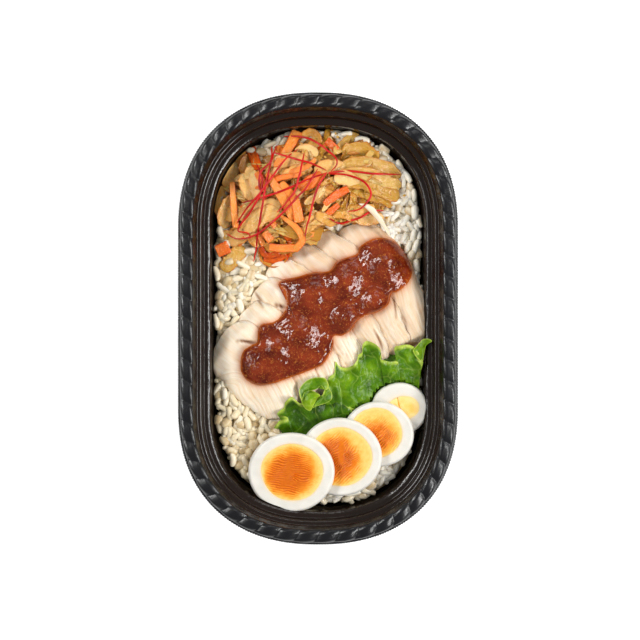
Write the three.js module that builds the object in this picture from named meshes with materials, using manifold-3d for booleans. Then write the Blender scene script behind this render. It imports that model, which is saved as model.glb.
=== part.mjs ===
// Takeaway rice meal in an oval tray: barley rice, braised burdock and carrot, sliced poached
// chicken under a thick sauce, a lettuce leaf and four fanned slices of boiled egg.
// Millimetres, +Z up, tray underside at z = 0, long side along Y.
import * as THREE from 'three';
import { mergeVertices } from 'three/addons/utils/BufferGeometryUtils.js';
import Module from 'manifold-3d';

const wasm = await Module();
wasm.setup();

// ---- driving dimensions ----
const trayLength = 230;
const trayWidth = 142.7;
const trayHeight = 38;
const trayWall = 1.0;
const straightSide = 89;
const endExponent = 2.3;
const strandCount = 60;
const strandRise = 0.9;
const ropeInnerInset = 8.7;
const wallSteps = 60;

const gap = 0.3;
const riceLevel = 17.6;
const riceBump = 0.9;
const riceBumpLength = 11;
const riceEdgeZ = 14.4;
const riceTopInsets = [44, 31, 21];
const riceEdgeWaves = 23;

const fanAngle = 0.498;
const chickenCount = 7;
const chickenStep = 12.9;
const chickenThickness = 4;
const chickenHalfWidth = 13.6;
const lastSliceFarReach = 16;
const lastSliceLean = 0.08;
const chickenRoundness = 2.15;
const chickenMiddle = { x: 3.4, y: -8.0, z: 23.2 };
const chickenDroop = 0.0014;
const chickenFarDroop = 0.03;
const chickenWobble = 0.035;
const chickenFoot = 1.4;
const chickenReachUp = [28, 33, 40, 43, 41, 39.5, 37.5];
const chickenReachDown = [22, 24, 25, 26, 26, 25.5, 25];

const eggThickness = 4.5;
const eggTilt = 0.17;
const eggLowestZ = 21.2;
const eggSizes = [
  { x: -13.3, y: -77.2, length: 42.8, width: 39.8, yolk: 31.0, yolkWidth: 28.8, yolkX: 0.4, yolkY: 0.2 },
  { x: 12.1, y: -70.4, length: 39.8, width: 38.3, yolk: 30.0, yolkWidth: 29.0, yolkX: 0.3, yolkY: 0.2 },
  { x: 31.8, y: -59.8, length: 34.3, width: 32.3, yolk: 25.6, yolkWidth: 24.8, yolkX: -1.2, yolkY: 0.8 },
  { x: 41.2, y: -46.7, length: 27.4, width: 25.7, yolk: 15.2, yolkWidth: 11.4, yolkX: 2.2, yolkY: 0.6 },
];

const heapCentre = { x: -4, y: 61 };
const heapHalfLength = 43.5;
const heapHalfWidth = 31;
const heapTurn = 0.22;
const heapTop = 30.6;
const heapFoot = 16.4;
const heapEdgeRise = 3.4;
const heapEvenShare = 2.6;
const heapLumps = { rise: 1.1, length: 14 };

const sauceSpine = [[-38, -25], [-22, -19], [-6, -6], [6, 8], [22, 18], [35, 24.5], [43, 26]];
const sauceHalfWidth = [1.5, 15.5, 17, 16.5, 15.5, 14.5, 3.5];
const sauceDepth = 3.4;
const sauceDip = 1.3;
const sauceLumps = { rise: 0.5, length: 17 };

const leafSpine = [[-20, -50], [-4, -43], [14, -35], [32, -27], [50.5, -20]];
const leafHalfWidth = [3.5, 11, 13, 11, 5];
const leafTop = 29.6;
const leafFoot = 16.2;
const leafFrill = 1.3;
const leafFrillCount = 7;
const leafSag = 3.2;
const leafTipFall = 4;

const shredPath = [[20.7, 58.3, 29.4], [27.7, 55.2, 28.6], [32.8, 48.7, 27.2], [36.3, 42.2, 26.6]];
const shredHalfWidth = 1.2;

const fan = new THREE.Vector2(Math.cos(fanAngle), Math.sin(fanAngle));
const along = new THREE.Vector2(-fan.y, fan.x);

// ---- mesh helpers ----

// Signed volume of an indexed geometry: positive when the faces point out.
function signedVolume(geometry) {
  const position = geometry.getAttribute('position');
  const index = geometry.getIndex();
  const a = new THREE.Vector3();
  const b = new THREE.Vector3();
  const c = new THREE.Vector3();
  let total = 0;
  for (let i = 0; i < index.count; i += 3) {
    a.fromBufferAttribute(position, index.getX(i));
    b.fromBufferAttribute(position, index.getX(i + 1));
    c.fromBufferAttribute(position, index.getX(i + 2));
    total += a.dot(b.cross(c)) / 6;
  }
  return total;
}

// Geometry from corner points and triangles, turned so that its faces point out.
function closedGeometry(points, triangles) {
  const geometry = new THREE.BufferGeometry();
  geometry.setAttribute('position', new THREE.Float32BufferAttribute(points.flatMap((p) => p.toArray()), 3));
  geometry.setIndex(triangles.flat());
  if (signedVolume(geometry) < 0) {
    geometry.setIndex(triangles.flatMap(([a, b, c]) => [a, c, b]));
  }
  return geometry;
}

// Skin over a list of rings. Neighbouring rings have equal counts, or one has twice the other's.
// The two ends are closed with a fan, or joined to each other when the rings go round a hole.
function skinOverRings(rings, goesRoundHole = false) {
  const points = rings.flat();
  const starts = [0];
  rings.forEach((ring) => starts.push(starts.at(-1) + ring.length));
  const triangles = [];
  const bandCount = goesRoundHole ? rings.length : rings.length - 1;
  for (let r = 0; r < bandCount; r += 1) {
    const next = (r + 1) % rings.length;
    bridge(triangles, starts[r], rings[r].length, starts[next], rings[next].length);
  }
  if (!goesRoundHole) {
    fanOver(triangles, points, rings[0], starts[0], false);
    fanOver(triangles, points, rings.at(-1), starts[rings.length - 1], true);
  }
  return closedGeometry(points, triangles);
}

function bridge(triangles, startA, countA, startB, countB) {
  const most = Math.max(countA, countB);
  const stepA = countA / most;
  const stepB = countB / most;
  for (let i = 0; i < most; i += 1) {
    const a0 = startA + (Math.floor(i * stepA + 0.25) % countA);
    const a1 = startA + (Math.floor((i + 1) * stepA + 0.25) % countA);
    const b0 = startB + (Math.floor(i * stepB + 0.25) % countB);
    const b1 = startB + (Math.floor((i + 1) * stepB + 0.25) % countB);
    if (a0 !== a1) {
      triangles.push([a0, a1, b0]);
    }
    if (b0 !== b1) {
      triangles.push([a1, b1, b0]);
    }
  }
}

function fanOver(triangles, points, ring, start, forwards) {
  const middle = new THREE.Vector3();
  ring.forEach((p) => middle.addScaledVector(p, 1 / ring.length));
  const centre = points.push(middle) - 1;
  for (let i = 0; i < ring.length; i += 1) {
    const a = start + i;
    const b = start + ((i + 1) % ring.length);
    triangles.push(forwards ? [a, b, centre] : [b, a, centre]);
  }
}

function toSolid(geometry) {
  const merged = geometry.clone();
  merged.deleteAttribute('normal');
  merged.deleteAttribute('uv');
  const welded = mergeVertices(merged, 1e-5);
  const vertProperties = new Float32Array(welded.getAttribute('position').array);
  const triVerts = new Uint32Array(welded.getIndex().array);
  return new wasm.Manifold(new wasm.Mesh({ numProp: 3, vertProperties, triVerts }));
}

function cutAway(geometry, cutters) {
  let solid = toSolid(geometry);
  cutters.forEach((cutter) => {
    solid = solid.subtract(toSolid(cutter));
  });
  const mesh = solid.getMesh();
  const result = new THREE.BufferGeometry();
  result.setAttribute('position', new THREE.BufferAttribute(new Float32Array(mesh.vertProperties), 3));
  result.setIndex(new THREE.BufferAttribute(new Uint32Array(mesh.triVerts), 1));
  return result;
}

// Smooth bumps of about one unit high, from a few crossed waves of the given length.
function unevenness(x, y, waveLength) {
  const k = (2 * Math.PI) / waveLength;
  const crosswise = Math.sin(k * x + 1.3 * Math.cos(0.6 * k * y));
  const lengthwise = Math.cos(0.9 * k * y + 1.7 * Math.sin(0.5 * k * x));
  return (crosswise + lengthwise) / 2;
}

function smoothTrack(points) {
  return new THREE.CatmullRomCurve3(points.map(([x, y, z]) => new THREE.Vector3(x, y, z ?? 0)));
}

// Value of a short list read at a fraction of its length, eased from one entry to the next.
function readList(values, fraction) {
  const place = THREE.MathUtils.clamp(fraction, 0, 1) * (values.length - 1);
  const index = Math.min(Math.floor(place), values.length - 2);
  const eased = THREE.MathUtils.smoothstep(place - index, 0, 1);
  return THREE.MathUtils.lerp(values[index], values[index + 1], eased);
}

// ---- tray ----

// Outline seen from above: two straight sides joined by superellipse ends.
class TrayOutline extends THREE.Curve {
  getPoint(t, target = new THREE.Vector3()) {
    const quarter = Math.floor(t * 4) % 4;
    const part = t * 4 - Math.floor(t * 4);
    const side = quarter < 2 ? 1 : -1;
    const halfStraight = straightSide / 2;
    if (quarter % 2 === 1) {
      return target.set((-side * trayWidth) / 2, side * halfStraight * (1 - 2 * part), 0);
    }
    const power = 2 / endExponent;
    const cosine = Math.cos(Math.PI * part);
    const sine = Math.max(Math.sin(Math.PI * part), 0);
    const endReach = trayLength / 2 - halfStraight;
    const x = (Math.sign(cosine) * Math.abs(cosine) ** power * trayWidth) / 2;
    return target.set(side * x, side * (halfStraight + endReach * sine ** power), 0);
  }
}

const outline = new TrayOutline();
outline.arcLengthDivisions = 2400;

// Point of the outline moved inwards by an inset, at a height.
function onOutline(u, inset, z) {
  const wrapped = u - Math.floor(u);
  const point = outline.getPointAt(wrapped);
  const ahead = outline.getPointAt((wrapped + 0.002) % 1);
  const behind = outline.getPointAt((wrapped + 0.998) % 1);
  const direction = ahead.sub(behind).normalize();
  return new THREE.Vector3(point.x - direction.y * inset, point.y + direction.x * inset, z);
}

// Wall section as [inset, height] from the floor's edge up to the top of the wall.
const wallSection = [
  [23.5, trayWall],
  [19.0, 3.6],
  [15.7, 26.0],
  [13.0, 26.5],
  [12.1, 31.4],
  [9.8, 31.9],
  [ropeInnerInset, trayHeight - 3.2],
];
// Underside of the same wall, from the rope down to the foot.
const underWall = [
  [2.2, trayHeight - 6.5],
  [5.0, trayHeight - 3.6],
  [7.7, trayHeight - 4.6],
  [8.8, 30.9],
  [11.1, 30.4],
  [12.0, 25.6],
  [14.7, 25.1],
  [18.2, 2.5],
  [23.4, 0],
];
// Rope rim as [inset, height, share of the strand's rise].
const ropeSection = [
  [7.4, trayHeight - 1.6, 1],
  [5.1, trayHeight - strandRise, 1],
  [2.8, trayHeight - 2.3, 1],
];
const lipSection = [
  [1.5, trayHeight - 5.6],
  [0, trayHeight - 5.7],
  [0, trayHeight - 6.6],
];
const perimeter = outline.getLength();

// The strands cross the rim at 45 degrees, so the rings turn with the inset.
function ropeTwist(inset) {
  return Math.max(ropeInnerInset - inset, 0) / perimeter;
}

function trayRing(count, inset, z, rise = 0) {
  return Array.from({ length: count }, (_, i) => {
    const crest = i % 2 === 0 ? rise : -rise;
    return onOutline(i / count - ropeTwist(inset), inset, z + crest);
  });
}

// Wall inset at a height, read from the inside of the wall.
function wallInset(z) {
  const upper = wallSection.findIndex(([, height]) => height >= z);
  const [inset0, z0] = wallSection[Math.max(upper - 1, 0)];
  const [inset1, z1] = wallSection[upper];
  return THREE.MathUtils.lerp(inset0, inset1, THREE.MathUtils.clamp((z - z0) / (z1 - z0), 0, 1));
}

function trayGeometry() {
  const rings = wallSection.map(([inset, z]) => trayRing(wallSteps, inset, z));
  ropeSection.forEach(([inset, z, share]) => {
    rings.push(trayRing(2 * strandCount, inset, z, share * strandRise));
  });
  lipSection.forEach(([inset, z]) => rings.push(trayRing(wallSteps, inset, z)));
  underWall.forEach(([inset, z]) => rings.push(trayRing(wallSteps, inset, z)));
  return skinOverRings(rings);
}

// ---- chicken ----

// Stack coordinates: p across the slices towards the far end of the fan, q along each slice.
function stackToPlan(p, q) {
  return [chickenMiddle.x + fan.x * p + along.x * q, chickenMiddle.y + fan.y * p + along.y * q];
}

function slicePlace(i) {
  return (i - (chickenCount - 1) / 2) * chickenStep;
}

const sliceTilt = Math.asin((chickenThickness + gap) / chickenStep);
const lastFreeEdge = slicePlace(chickenCount - 1) + chickenHalfWidth - chickenStep;

// Middle height of a slice: every slice leans on the next, and the stack falls off at its ends.
function sliceHeight(i, p, q) {
  const lean = Math.tan(sliceTilt) * (p - slicePlace(i));
  const pastEdge = Math.max(p - lastFreeEdge, 0);
  return chickenMiddle.z + lean - chickenDroop * q * q - chickenFarDroop * pastEdge * pastEdge;
}

// Place on the outline of slice i at an angle round it, as stack coordinates from its middle.
function sliceOutline(i, angle, spread) {
  const power = 2 / chickenRoundness;
  const cosine = Math.cos(angle);
  const sine = Math.sin(angle);
  const isLast = i === chickenCount - 1;
  const across = (isLast && cosine > 0 ? lastSliceFarReach : chickenHalfWidth) + spread;
  const reach = (sine > 0 ? chickenReachUp[i] : chickenReachDown[i]) + spread;
  const wobble = 1 + chickenWobble * Math.sin(3 * angle + 2.1 * i);
  const q = Math.sign(sine) * Math.abs(sine) ** power * reach * wobble;
  const lean = isLast ? lastSliceLean * q : 0;
  return [Math.sign(cosine) * Math.abs(cosine) ** power * across + lean, q];
}

// One slice, or a cutter for its neighbours: thicker by lift each side and wider by spread.
function chickenSlice(i, steps = 24, lift = 0, spread = 0) {
  const halfThickness = chickenThickness / 2 / Math.cos(sliceTilt) + lift;
  const section = [
    [0.45, -1],
    [0.92, -1],
    [1, -0.1],
    [0.92, 1],
    [0.45, 1],
  ];
  const rings = section.map(([share, level]) => Array.from({ length: steps }, (_, k) => {
    const [v, q] = sliceOutline(i, (k / steps) * 2 * Math.PI, spread);
    const p = slicePlace(i) + v * share;
    const [x, y] = stackToPlan(p, q * share);
    return new THREE.Vector3(x, y, sliceHeight(i, p, q * share) + level * halfThickness);
  }));
  return skinOverRings(rings);
}

// Height of the chicken's upper side at a place, or the rice level beside it.
function chickenTop(x, y) {
  const dx = x - chickenMiddle.x;
  const dy = y - chickenMiddle.y;
  const p = dx * fan.x + dy * fan.y;
  const q = dx * along.x + dy * along.y;
  for (let i = 0; i < chickenCount; i += 1) {
    const reach = q > 0 ? chickenReachUp[i] : chickenReachDown[i];
    const v = p - slicePlace(i);
    const isLast = i === chickenCount - 1;
    const across = Math.abs(v / (isLast && v > 0 ? lastSliceFarReach : chickenHalfWidth));
    if (across ** chickenRoundness + Math.abs(q / reach) ** chickenRoundness < 1) {
      return sliceHeight(i, p, q) + chickenThickness / 2;
    }
  }
  return riceLevel;
}

// Height of a smooth cover over the slices' raised edges.
function crestHeight(x, y) {
  const dx = x - chickenMiddle.x;
  const dy = y - chickenMiddle.y;
  const p = dx * fan.x + dy * fan.y;
  const q = dx * along.x + dy * along.y;
  const last = chickenCount - 1;
  const crest = Math.max(p, slicePlace(last) + chickenHalfWidth - 1);
  const fallOff = sliceHeight(last, p, q) - Math.tan(sliceTilt) * (p - slicePlace(last));
  return fallOff + Math.tan(sliceTilt) * (crest - slicePlace(last)) + chickenThickness / 2;
}

// ---- egg ----

// The lowest slice is the last one, and each slice before it leans on the next.
function eggHeight(i) {
  let z = eggLowestZ;
  for (let k = eggSizes.length - 2; k >= i; k -= 1) {
    const dx = eggSizes[k + 1].x - eggSizes[k].x;
    const dy = eggSizes[k + 1].y - eggSizes[k].y;
    const apart = dx * fan.x + dy * fan.y;
    z += (eggThickness + gap) / Math.cos(eggTilt) - apart * Math.tan(eggTilt);
  }
  return z;
}

function eggRing(i, length, width, offsetX, offsetY, level, steps) {
  const { x, y } = eggSizes[i];
  return Array.from({ length: steps }, (_, k) => {
    const angle = (k / steps) * 2 * Math.PI;
    const dx = offsetX + (length / 2) * Math.cos(angle);
    const dy = offsetY + (width / 2) * Math.sin(angle);
    const rise = Math.tan(eggTilt) * (dx * fan.x + dy * fan.y);
    return new THREE.Vector3(x + dx, y + dy, eggHeight(i) + rise + level);
  });
}

function eggWhite(i, steps = 26, grow = 0) {
  const egg = eggSizes[i];
  const half = eggThickness / 2 + grow;
  const rounded = [
    [1.4, -1],
    [0, -0.35],
    [0, 0.35],
    [1.4, 1],
  ];
  const rings = rounded.map(([inset, level]) => {
    const smaller = 2 * (grow - inset);
    return eggRing(i, egg.length + smaller, egg.width + smaller, 0, 0, level * half, steps);
  });
  if (grow === 0) {
    [half, -half].forEach((level) => {
      const hole = [egg.yolk + 2 * gap, egg.yolkWidth + 2 * gap];
      rings.push(eggRing(i, ...hole, egg.yolkX, egg.yolkY, level, steps));
    });
  }
  return skinOverRings(rings, grow === 0);
}

function eggYolk(i) {
  const egg = eggSizes[i];
  const half = eggThickness / 2;
  const rings = [-half, half].map((level) => (
    eggRing(i, egg.yolk, egg.yolkWidth, egg.yolkX, egg.yolkY, level, 22)
  ));
  return skinOverRings(rings);
}

// ---- heaps, sauce and leaf ----

// Dome of braised strips with an uneven outline and lumpy top.
function burdockHeap(steps = 34, grow = 0) {
  const levels = [0.28, 0.55, 0.8, 0.95, 1];
  const shape = (share, k) => {
    const angle = (k / steps) * 2 * Math.PI;
    const uneven = 1 + 0.05 * Math.sin(5 * angle + 1) + 0.03 * Math.cos(9 * angle);
    const a = (heapHalfLength * uneven + grow) * share * Math.cos(angle);
    const b = (heapHalfWidth * uneven + grow) * share * Math.sin(angle);
    const x = heapCentre.x + a * Math.cos(heapTurn) - b * Math.sin(heapTurn);
    const y = heapCentre.y + a * Math.sin(heapTurn) + b * Math.cos(heapTurn);
    return [x, y];
  };
  const rings = levels.map((share) => Array.from({ length: steps }, (_, k) => {
    const [x, y] = shape(share, k);
    const lumps = heapLumps.rise * unevenness(x, y, heapLumps.length);
    const crown = heapTop - heapFoot - heapEdgeRise - heapLumps.rise - 0.5;
    const dome = heapEdgeRise + (1 - share ** heapEvenShare) * crown;
    return new THREE.Vector3(x, y, heapFoot + dome + lumps + grow);
  }));
  [0.94, 0.5].forEach((share) => {
    rings.push(Array.from({ length: steps }, (_, k) => {
      const [x, y] = shape(share, k);
      return new THREE.Vector3(x, y, heapFoot - grow);
    }));
  });
  return skinOverRings(rings);
}

// Ribbon laid along a spine: top(x, y, along, across) and foot(x, y) give its two sides.
function layRibbon(spine, halfWidths, steps, across, grow, top, foot) {
  const track = smoothTrack(spine);
  const place = (s, t) => {
    const point = track.getPointAt(s);
    const direction = track.getTangentAt(s);
    const reach = (readList(halfWidths, s) + grow) * t;
    return [point.x - direction.y * reach, point.y + direction.x * reach];
  };
  const rings = Array.from({ length: steps + 1 }, (_, k) => {
    const s = k / steps;
    const upper = [];
    const lower = [];
    for (let j = 0; j <= across; j += 1) {
      const t = -1 + (2 * j) / across;
      const [x, y] = place(s, t);
      upper.push(new THREE.Vector3(x, y, top(x, y, s, t) + grow));
      lower.unshift(new THREE.Vector3(x, y, foot(x, y) - grow));
    }
    return [...upper, ...lower];
  });
  return skinOverRings(rings);
}

function sauce(grow = 0) {
  const top = (x, y, s, t) => {
    const crown = Math.max(1 - t ** 4, 0) * Math.max(1 - (2 * s - 1) ** 6, 0);
    const lumps = sauceLumps.rise * unevenness(x, y, sauceLumps.length);
    return crestHeight(x, y) - sauceDip + Math.sqrt(crown) * (sauceDepth + lumps);
  };
  const foot = (x, y) => Math.max(chickenTop(x, y) - chickenFoot, riceLevel + 2);
  return layRibbon(sauceSpine, sauceHalfWidth, 16, 5, grow, top, foot);
}

function lettuceLeaf(grow = 0) {
  const top = (x, y, s, t) => {
    const frill = leafFrill * Math.sin(leafFrillCount * 2 * Math.PI * s + 2 * t) * Math.abs(t);
    const sag = leafSag * Math.max(-t, 0);
    return leafTop - sag + frill - leafTipFall * Math.max(s - 0.8, 0);
  };
  const foot = (x, y) => (grow > 0 ? leafFoot : Math.max(leafFoot, chickenTop(x, y) - chickenFoot));
  return layRibbon(leafSpine, leafHalfWidth, 18, 4, grow, top, foot);
}

function chickenShred(grow = 0) {
  const half = shredHalfWidth + grow;
  const section = new THREE.Shape();
  section.absellipse(0, 0, half * 0.7, half, 0, 2 * Math.PI);
  const track = smoothTrack(shredPath);
  return new THREE.ExtrudeGeometry(section, { steps: 9, curveSegments: 3, extrudePath: track });
}

// Rice up to an uneven top, resting on the floor and against the wall.
function riceBed() {
  const steps = 40;
  const floorZ = trayWall + gap;
  const edgeInset = (u) => {
    const wave = Math.sin(2 * Math.PI * riceEdgeWaves * u + 3 * Math.cos(31 * u));
    return wallInset(riceEdgeZ) + 2 * gap + 0.7 * (1 + wave);
  };
  const ringAt = (inset, height) => Array.from({ length: steps }, (_, i) => {
    const u = i / steps;
    const point = onOutline(u, inset(u), 0);
    point.z = height(point);
    return point;
  });
  const topAt = (point) => riceLevel + riceBump * unevenness(point.x, point.y, riceBumpLength);
  const rings = riceTopInsets.map((inset) => ringAt(() => inset, topAt));
  rings.push(ringAt(edgeInset, () => riceEdgeZ));
  rings.push(ringAt(() => wallInset(4) + 2 * gap, () => 4));
  rings.push(ringAt(() => wallSection[0][0] + 2 * gap, () => floorZ));
  return skinOverRings(rings);
}

// ---- assembly ----

const finishes = {
  tray: { color: 0x1d1f23, roughness: 0.3, metalness: 0 },
  rice: { color: 0xd9d4c2, roughness: 0.55, metalness: 0 },
  burdock: { color: 0xcf9a55, roughness: 0.45, metalness: 0 },
  chicken: { color: 0xf0dcc0, roughness: 0.5, metalness: 0 },
  sauce: { color: 0x6e2413, roughness: 0.2, metalness: 0 },
  lettuce: { color: 0x4f9a2a, roughness: 0.45, metalness: 0 },
  eggWhite: { color: 0xf4f1ea, roughness: 0.4, metalness: 0 },
  eggYolk: { color: 0xf39a2c, roughness: 0.5, metalness: 0 },
};

const meal = new THREE.Group();

function addPiece(name, geometry, finish) {
  const mesh = new THREE.Mesh(geometry, new THREE.MeshStandardMaterial(finishes[finish]));
  mesh.name = name;
  meal.add(mesh);
}

const slices = Array.from({ length: chickenCount }, (_, i) => chickenSlice(i));
const sliceCutters = slices.map((_, i) => chickenSlice(i, 12, gap, 2));
const eggCutters = eggSizes.map((_, i) => eggWhite(i, 16, 2 * gap));
const grownShred = chickenShred(gap);

addPiece('tray', trayGeometry(), 'tray');
addPiece('barley_rice_bed', cutAway(riceBed(), [
  ...sliceCutters, ...eggCutters, burdockHeap(34, gap), lettuceLeaf(gap), sauce(gap), grownShred,
]), 'rice');
addPiece('burdock_carrot_heap', cutAway(burdockHeap(), [...sliceCutters, grownShred]), 'burdock');
slices.forEach((slice, i) => addPiece(`chicken_slice_${i + 1}`, slice, 'chicken'));
addPiece('chicken_shred', chickenShred(), 'chicken');
addPiece('sauce', cutAway(sauce(), sliceCutters), 'sauce');
addPiece('lettuce_leaf', cutAway(lettuceLeaf(), [...sliceCutters, ...eggCutters, sauce(gap)]), 'lettuce');
eggSizes.forEach((_, i) => {
  addPiece(`egg_white_${i + 1}`, eggWhite(i), 'eggWhite');
  addPiece(`egg_yolk_${i + 1}`, eggYolk(i), 'eggYolk');
});

export default meal;
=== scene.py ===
import math

import bpy
import numpy as np
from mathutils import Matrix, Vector


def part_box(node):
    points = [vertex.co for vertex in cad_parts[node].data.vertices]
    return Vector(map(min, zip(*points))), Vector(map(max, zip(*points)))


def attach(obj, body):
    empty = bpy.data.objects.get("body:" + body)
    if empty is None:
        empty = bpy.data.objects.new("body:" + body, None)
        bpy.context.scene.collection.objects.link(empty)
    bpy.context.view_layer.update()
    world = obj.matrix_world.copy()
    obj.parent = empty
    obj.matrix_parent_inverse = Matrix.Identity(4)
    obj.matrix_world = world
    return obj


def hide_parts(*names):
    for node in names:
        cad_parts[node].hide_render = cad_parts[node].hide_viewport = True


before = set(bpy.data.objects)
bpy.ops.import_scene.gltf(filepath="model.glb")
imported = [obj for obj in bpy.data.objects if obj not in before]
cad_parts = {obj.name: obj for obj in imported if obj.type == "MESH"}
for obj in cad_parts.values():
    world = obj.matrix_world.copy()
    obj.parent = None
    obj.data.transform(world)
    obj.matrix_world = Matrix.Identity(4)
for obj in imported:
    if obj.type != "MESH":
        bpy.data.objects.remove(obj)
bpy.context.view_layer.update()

mm = 0.001
random = np.random.default_rng(23)


# helpers shared by all pieces, which work in millimetres

def linear(hexColour):
    # sRGB hex text to linear RGBA
    part = np.array([int(hexColour[i:i + 2], 16) for i in (1, 3, 5)]) / 255
    part = np.where(part <= 0.04045, part / 12.92, ((part + 0.055) / 1.055) ** 2.4)
    return (*part.tolist(), 1.0)


def addNode(tree, kind, settings=None, inputs=None, stops=None):
    # one node with its settings, and its inputs set to a value or linked to a socket
    node = tree.nodes.new(kind)
    for name, value in (settings or {}).items():
        setattr(node, name, value)
    for name, value in (inputs or {}).items():
        if isinstance(value, bpy.types.NodeSocket):
            tree.links.new(value, node.inputs[name])
        else:
            node.inputs[name].default_value = value
    for index, (place, colour) in enumerate(stops or []):
        ramp = node.color_ramp.elements
        stop = ramp[index] if index < 2 else ramp.new(place)
        stop.position = place
        stop.color = linear(colour)
    return node


def startMaterial(name):
    # an empty material, its node tree and its object coordinates
    material = bpy.data.materials.new(name)
    material.use_nodes = True
    tree = material.node_tree
    tree.nodes.clear()
    place = addNode(tree, "ShaderNodeTexCoord").outputs["Object"]
    return material, tree, place


def markNode(tree, name):
    # the value that a mark gives each point
    return addNode(tree, "ShaderNodeAttribute", {"attribute_name": name})


def noise(tree, place, scale, detail):
    return addNode(tree, "ShaderNodeTexNoise", None, {"Vector": place, "Scale": scale, "Detail": detail})


def multiplyAdd(tree, value, factor, added):
    return addNode(tree, "ShaderNodeMath", {"operation": "MULTIPLY_ADD"}, {0: value, 1: factor, 2: added})


def mixColour(tree, share, first, second, blend="MIX"):
    # the first colour, and the share of the second one over it
    settings = {"data_type": "RGBA", "blend_type": blend}
    return addNode(tree, "ShaderNodeMix", settings, {0: share, 6: first, 7: second})


def bumpNode(tree, height, strength, distance):
    return addNode(tree, "ShaderNodeBump", None, {
        "Height": height, "Strength": strength, "Distance": distance})


def finishMaterial(tree, inputs):
    shader = addNode(tree, "ShaderNodeBsdfPrincipled", None, inputs)
    addNode(tree, "ShaderNodeOutputMaterial", None, {"Surface": shader.outputs["BSDF"]})


def boxOf(node):
    # the low and high corner of a CAD node, in millimetres
    low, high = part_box(node)
    return np.array(low) / mm, np.array(high) / mm


def middleOf(node):
    low, high = boxOf(node)
    return (low + high) / 2


lattice = random.random((128, 128))


def bumps(x, y, size, seed=0):
    # value noise: random heights on a square lattice of the given size, blended smoothly, from -1 to 1
    gridX = x / size + 13.7 * seed + 500
    gridY = y / size + 7.9 * seed + 500
    ix = np.floor(gridX).astype(int)
    iy = np.floor(gridY).astype(int)
    fx = gridX - ix
    fy = gridY - iy
    fx = fx * fx * (3 - 2 * fx)
    fy = fy * fy * (3 - 2 * fy)
    a = lattice[ix % 128, iy % 128]
    b = lattice[(ix + 1) % 128, iy % 128]
    c = lattice[ix % 128, (iy + 1) % 128]
    d = lattice[(ix + 1) % 128, (iy + 1) % 128]
    return 2 * ((a * (1 - fx) + b * fx) * (1 - fy) + (c * (1 - fx) + d * fx) * fy) - 1


def cells(x, y, size, seed=0):
    # jittered lattice of points: distance to the nearest one, and how far the second nearest is beyond it
    gridX = x / size + 300
    gridY = y / size + 300
    ix = np.floor(gridX).astype(int)
    iy = np.floor(gridY).astype(int)
    first = np.full(np.shape(x), 9.0)
    second = np.full(np.shape(x), 9.0)
    for ox in (-1, 0, 1):
        for oy in (-1, 0, 1):
            px = ix + ox + lattice[(ix + ox + 7 * seed) % 128, (iy + oy) % 128]
            py = iy + oy + lattice[(ix + ox) % 128, (iy + oy + 11 * seed + 31) % 128]
            distance = np.hypot(gridX - px, gridY - py)
            second = np.minimum(second, np.maximum(first, distance))
            first = np.minimum(first, distance)
    return first, second - first


def smoothStep(value, low, high):
    # 0 below low, 1 above high, and 3t^2 - 2t^3 between them
    t = np.clip((value - low) / (high - low), 0, 1)
    return t * t * (3 - 2 * t)


def splineThrough(points, count):
    # Catmull-Rom curve through the points, sampled evenly along its length
    points = np.array(points, float)
    ends = np.vstack([2 * points[0] - points[1], points, 2 * points[-1] - points[-2]])
    t = np.linspace(0, len(points) - 1, 40 * len(points))
    index = np.minimum(t.astype(int), len(points) - 2)
    f = (t - index)[:, None]
    p0, p1, p2, p3 = (ends[index + k] for k in range(4))
    curve = 0.5 * (2 * p1 + (p2 - p0) * f + (2 * p0 - 5 * p1 + 4 * p2 - p3) * f ** 2
                   + (3 * p1 - p0 - 3 * p2 + p3) * f ** 3)
    steps = np.linalg.norm(np.diff(curve, axis=0), axis=1)
    length = np.concatenate([[0], np.cumsum(steps)])
    even = np.linspace(0, length[-1], count)
    return np.stack([np.interp(even, length, curve[:, k]) for k in range(curve.shape[1])], axis=1)


def gridFaces(rows, columns, wrapRows=False, wrapColumns=True):
    # quads between neighbouring rows and columns of points stored row by row
    r = np.arange(rows if wrapRows else rows - 1)[:, None]
    c = np.arange(columns if wrapColumns else columns - 1)[None, :]
    nextRow = (r + 1) % rows
    nextColumn = (c + 1) % columns
    corners = [r * columns + c, r * columns + nextColumn,
               nextRow * columns + nextColumn, nextRow * columns + c]
    return np.stack(corners, axis=-1).reshape(-1, 4)


def fillMesh(name, points, faces, material, marks=None):
    # an object from points in millimetres, its faces turned outwards by the sign of its volume;
    # each mark holds one value for each point
    triangles = [np.array([f for f in faces if len(f) == 3]), np.array([f for f in faces if len(f) == 4])]
    volume = 0.0
    for group in triangles:
        if len(group):
            first = points[group[:, 0]]
            for k in range(1, group.shape[1] - 1):
                second, third = points[group[:, k]], points[group[:, k + 1]]
                volume += np.einsum("ij,ij->", first, np.cross(second, third))
    if volume < 0:
        faces = [tuple(f[::-1]) for f in faces]
    mesh = bpy.data.meshes.new(name)
    mesh.from_pydata((points * mm).tolist(), [], faces)
    mesh.polygons.foreach_set("use_smooth", np.ones(len(mesh.polygons), bool))
    for markName, values in (marks or {}).items():
        mark = mesh.attributes.new(markName, "FLOAT", "POINT")
        mark.data.foreach_set("value", np.ascontiguousarray(values, np.float32).ravel())
    mesh.materials.append(material)
    mesh.update()
    piece = bpy.data.objects.new(name, mesh)
    bpy.context.scene.collection.objects.link(piece)
    return piece


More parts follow.
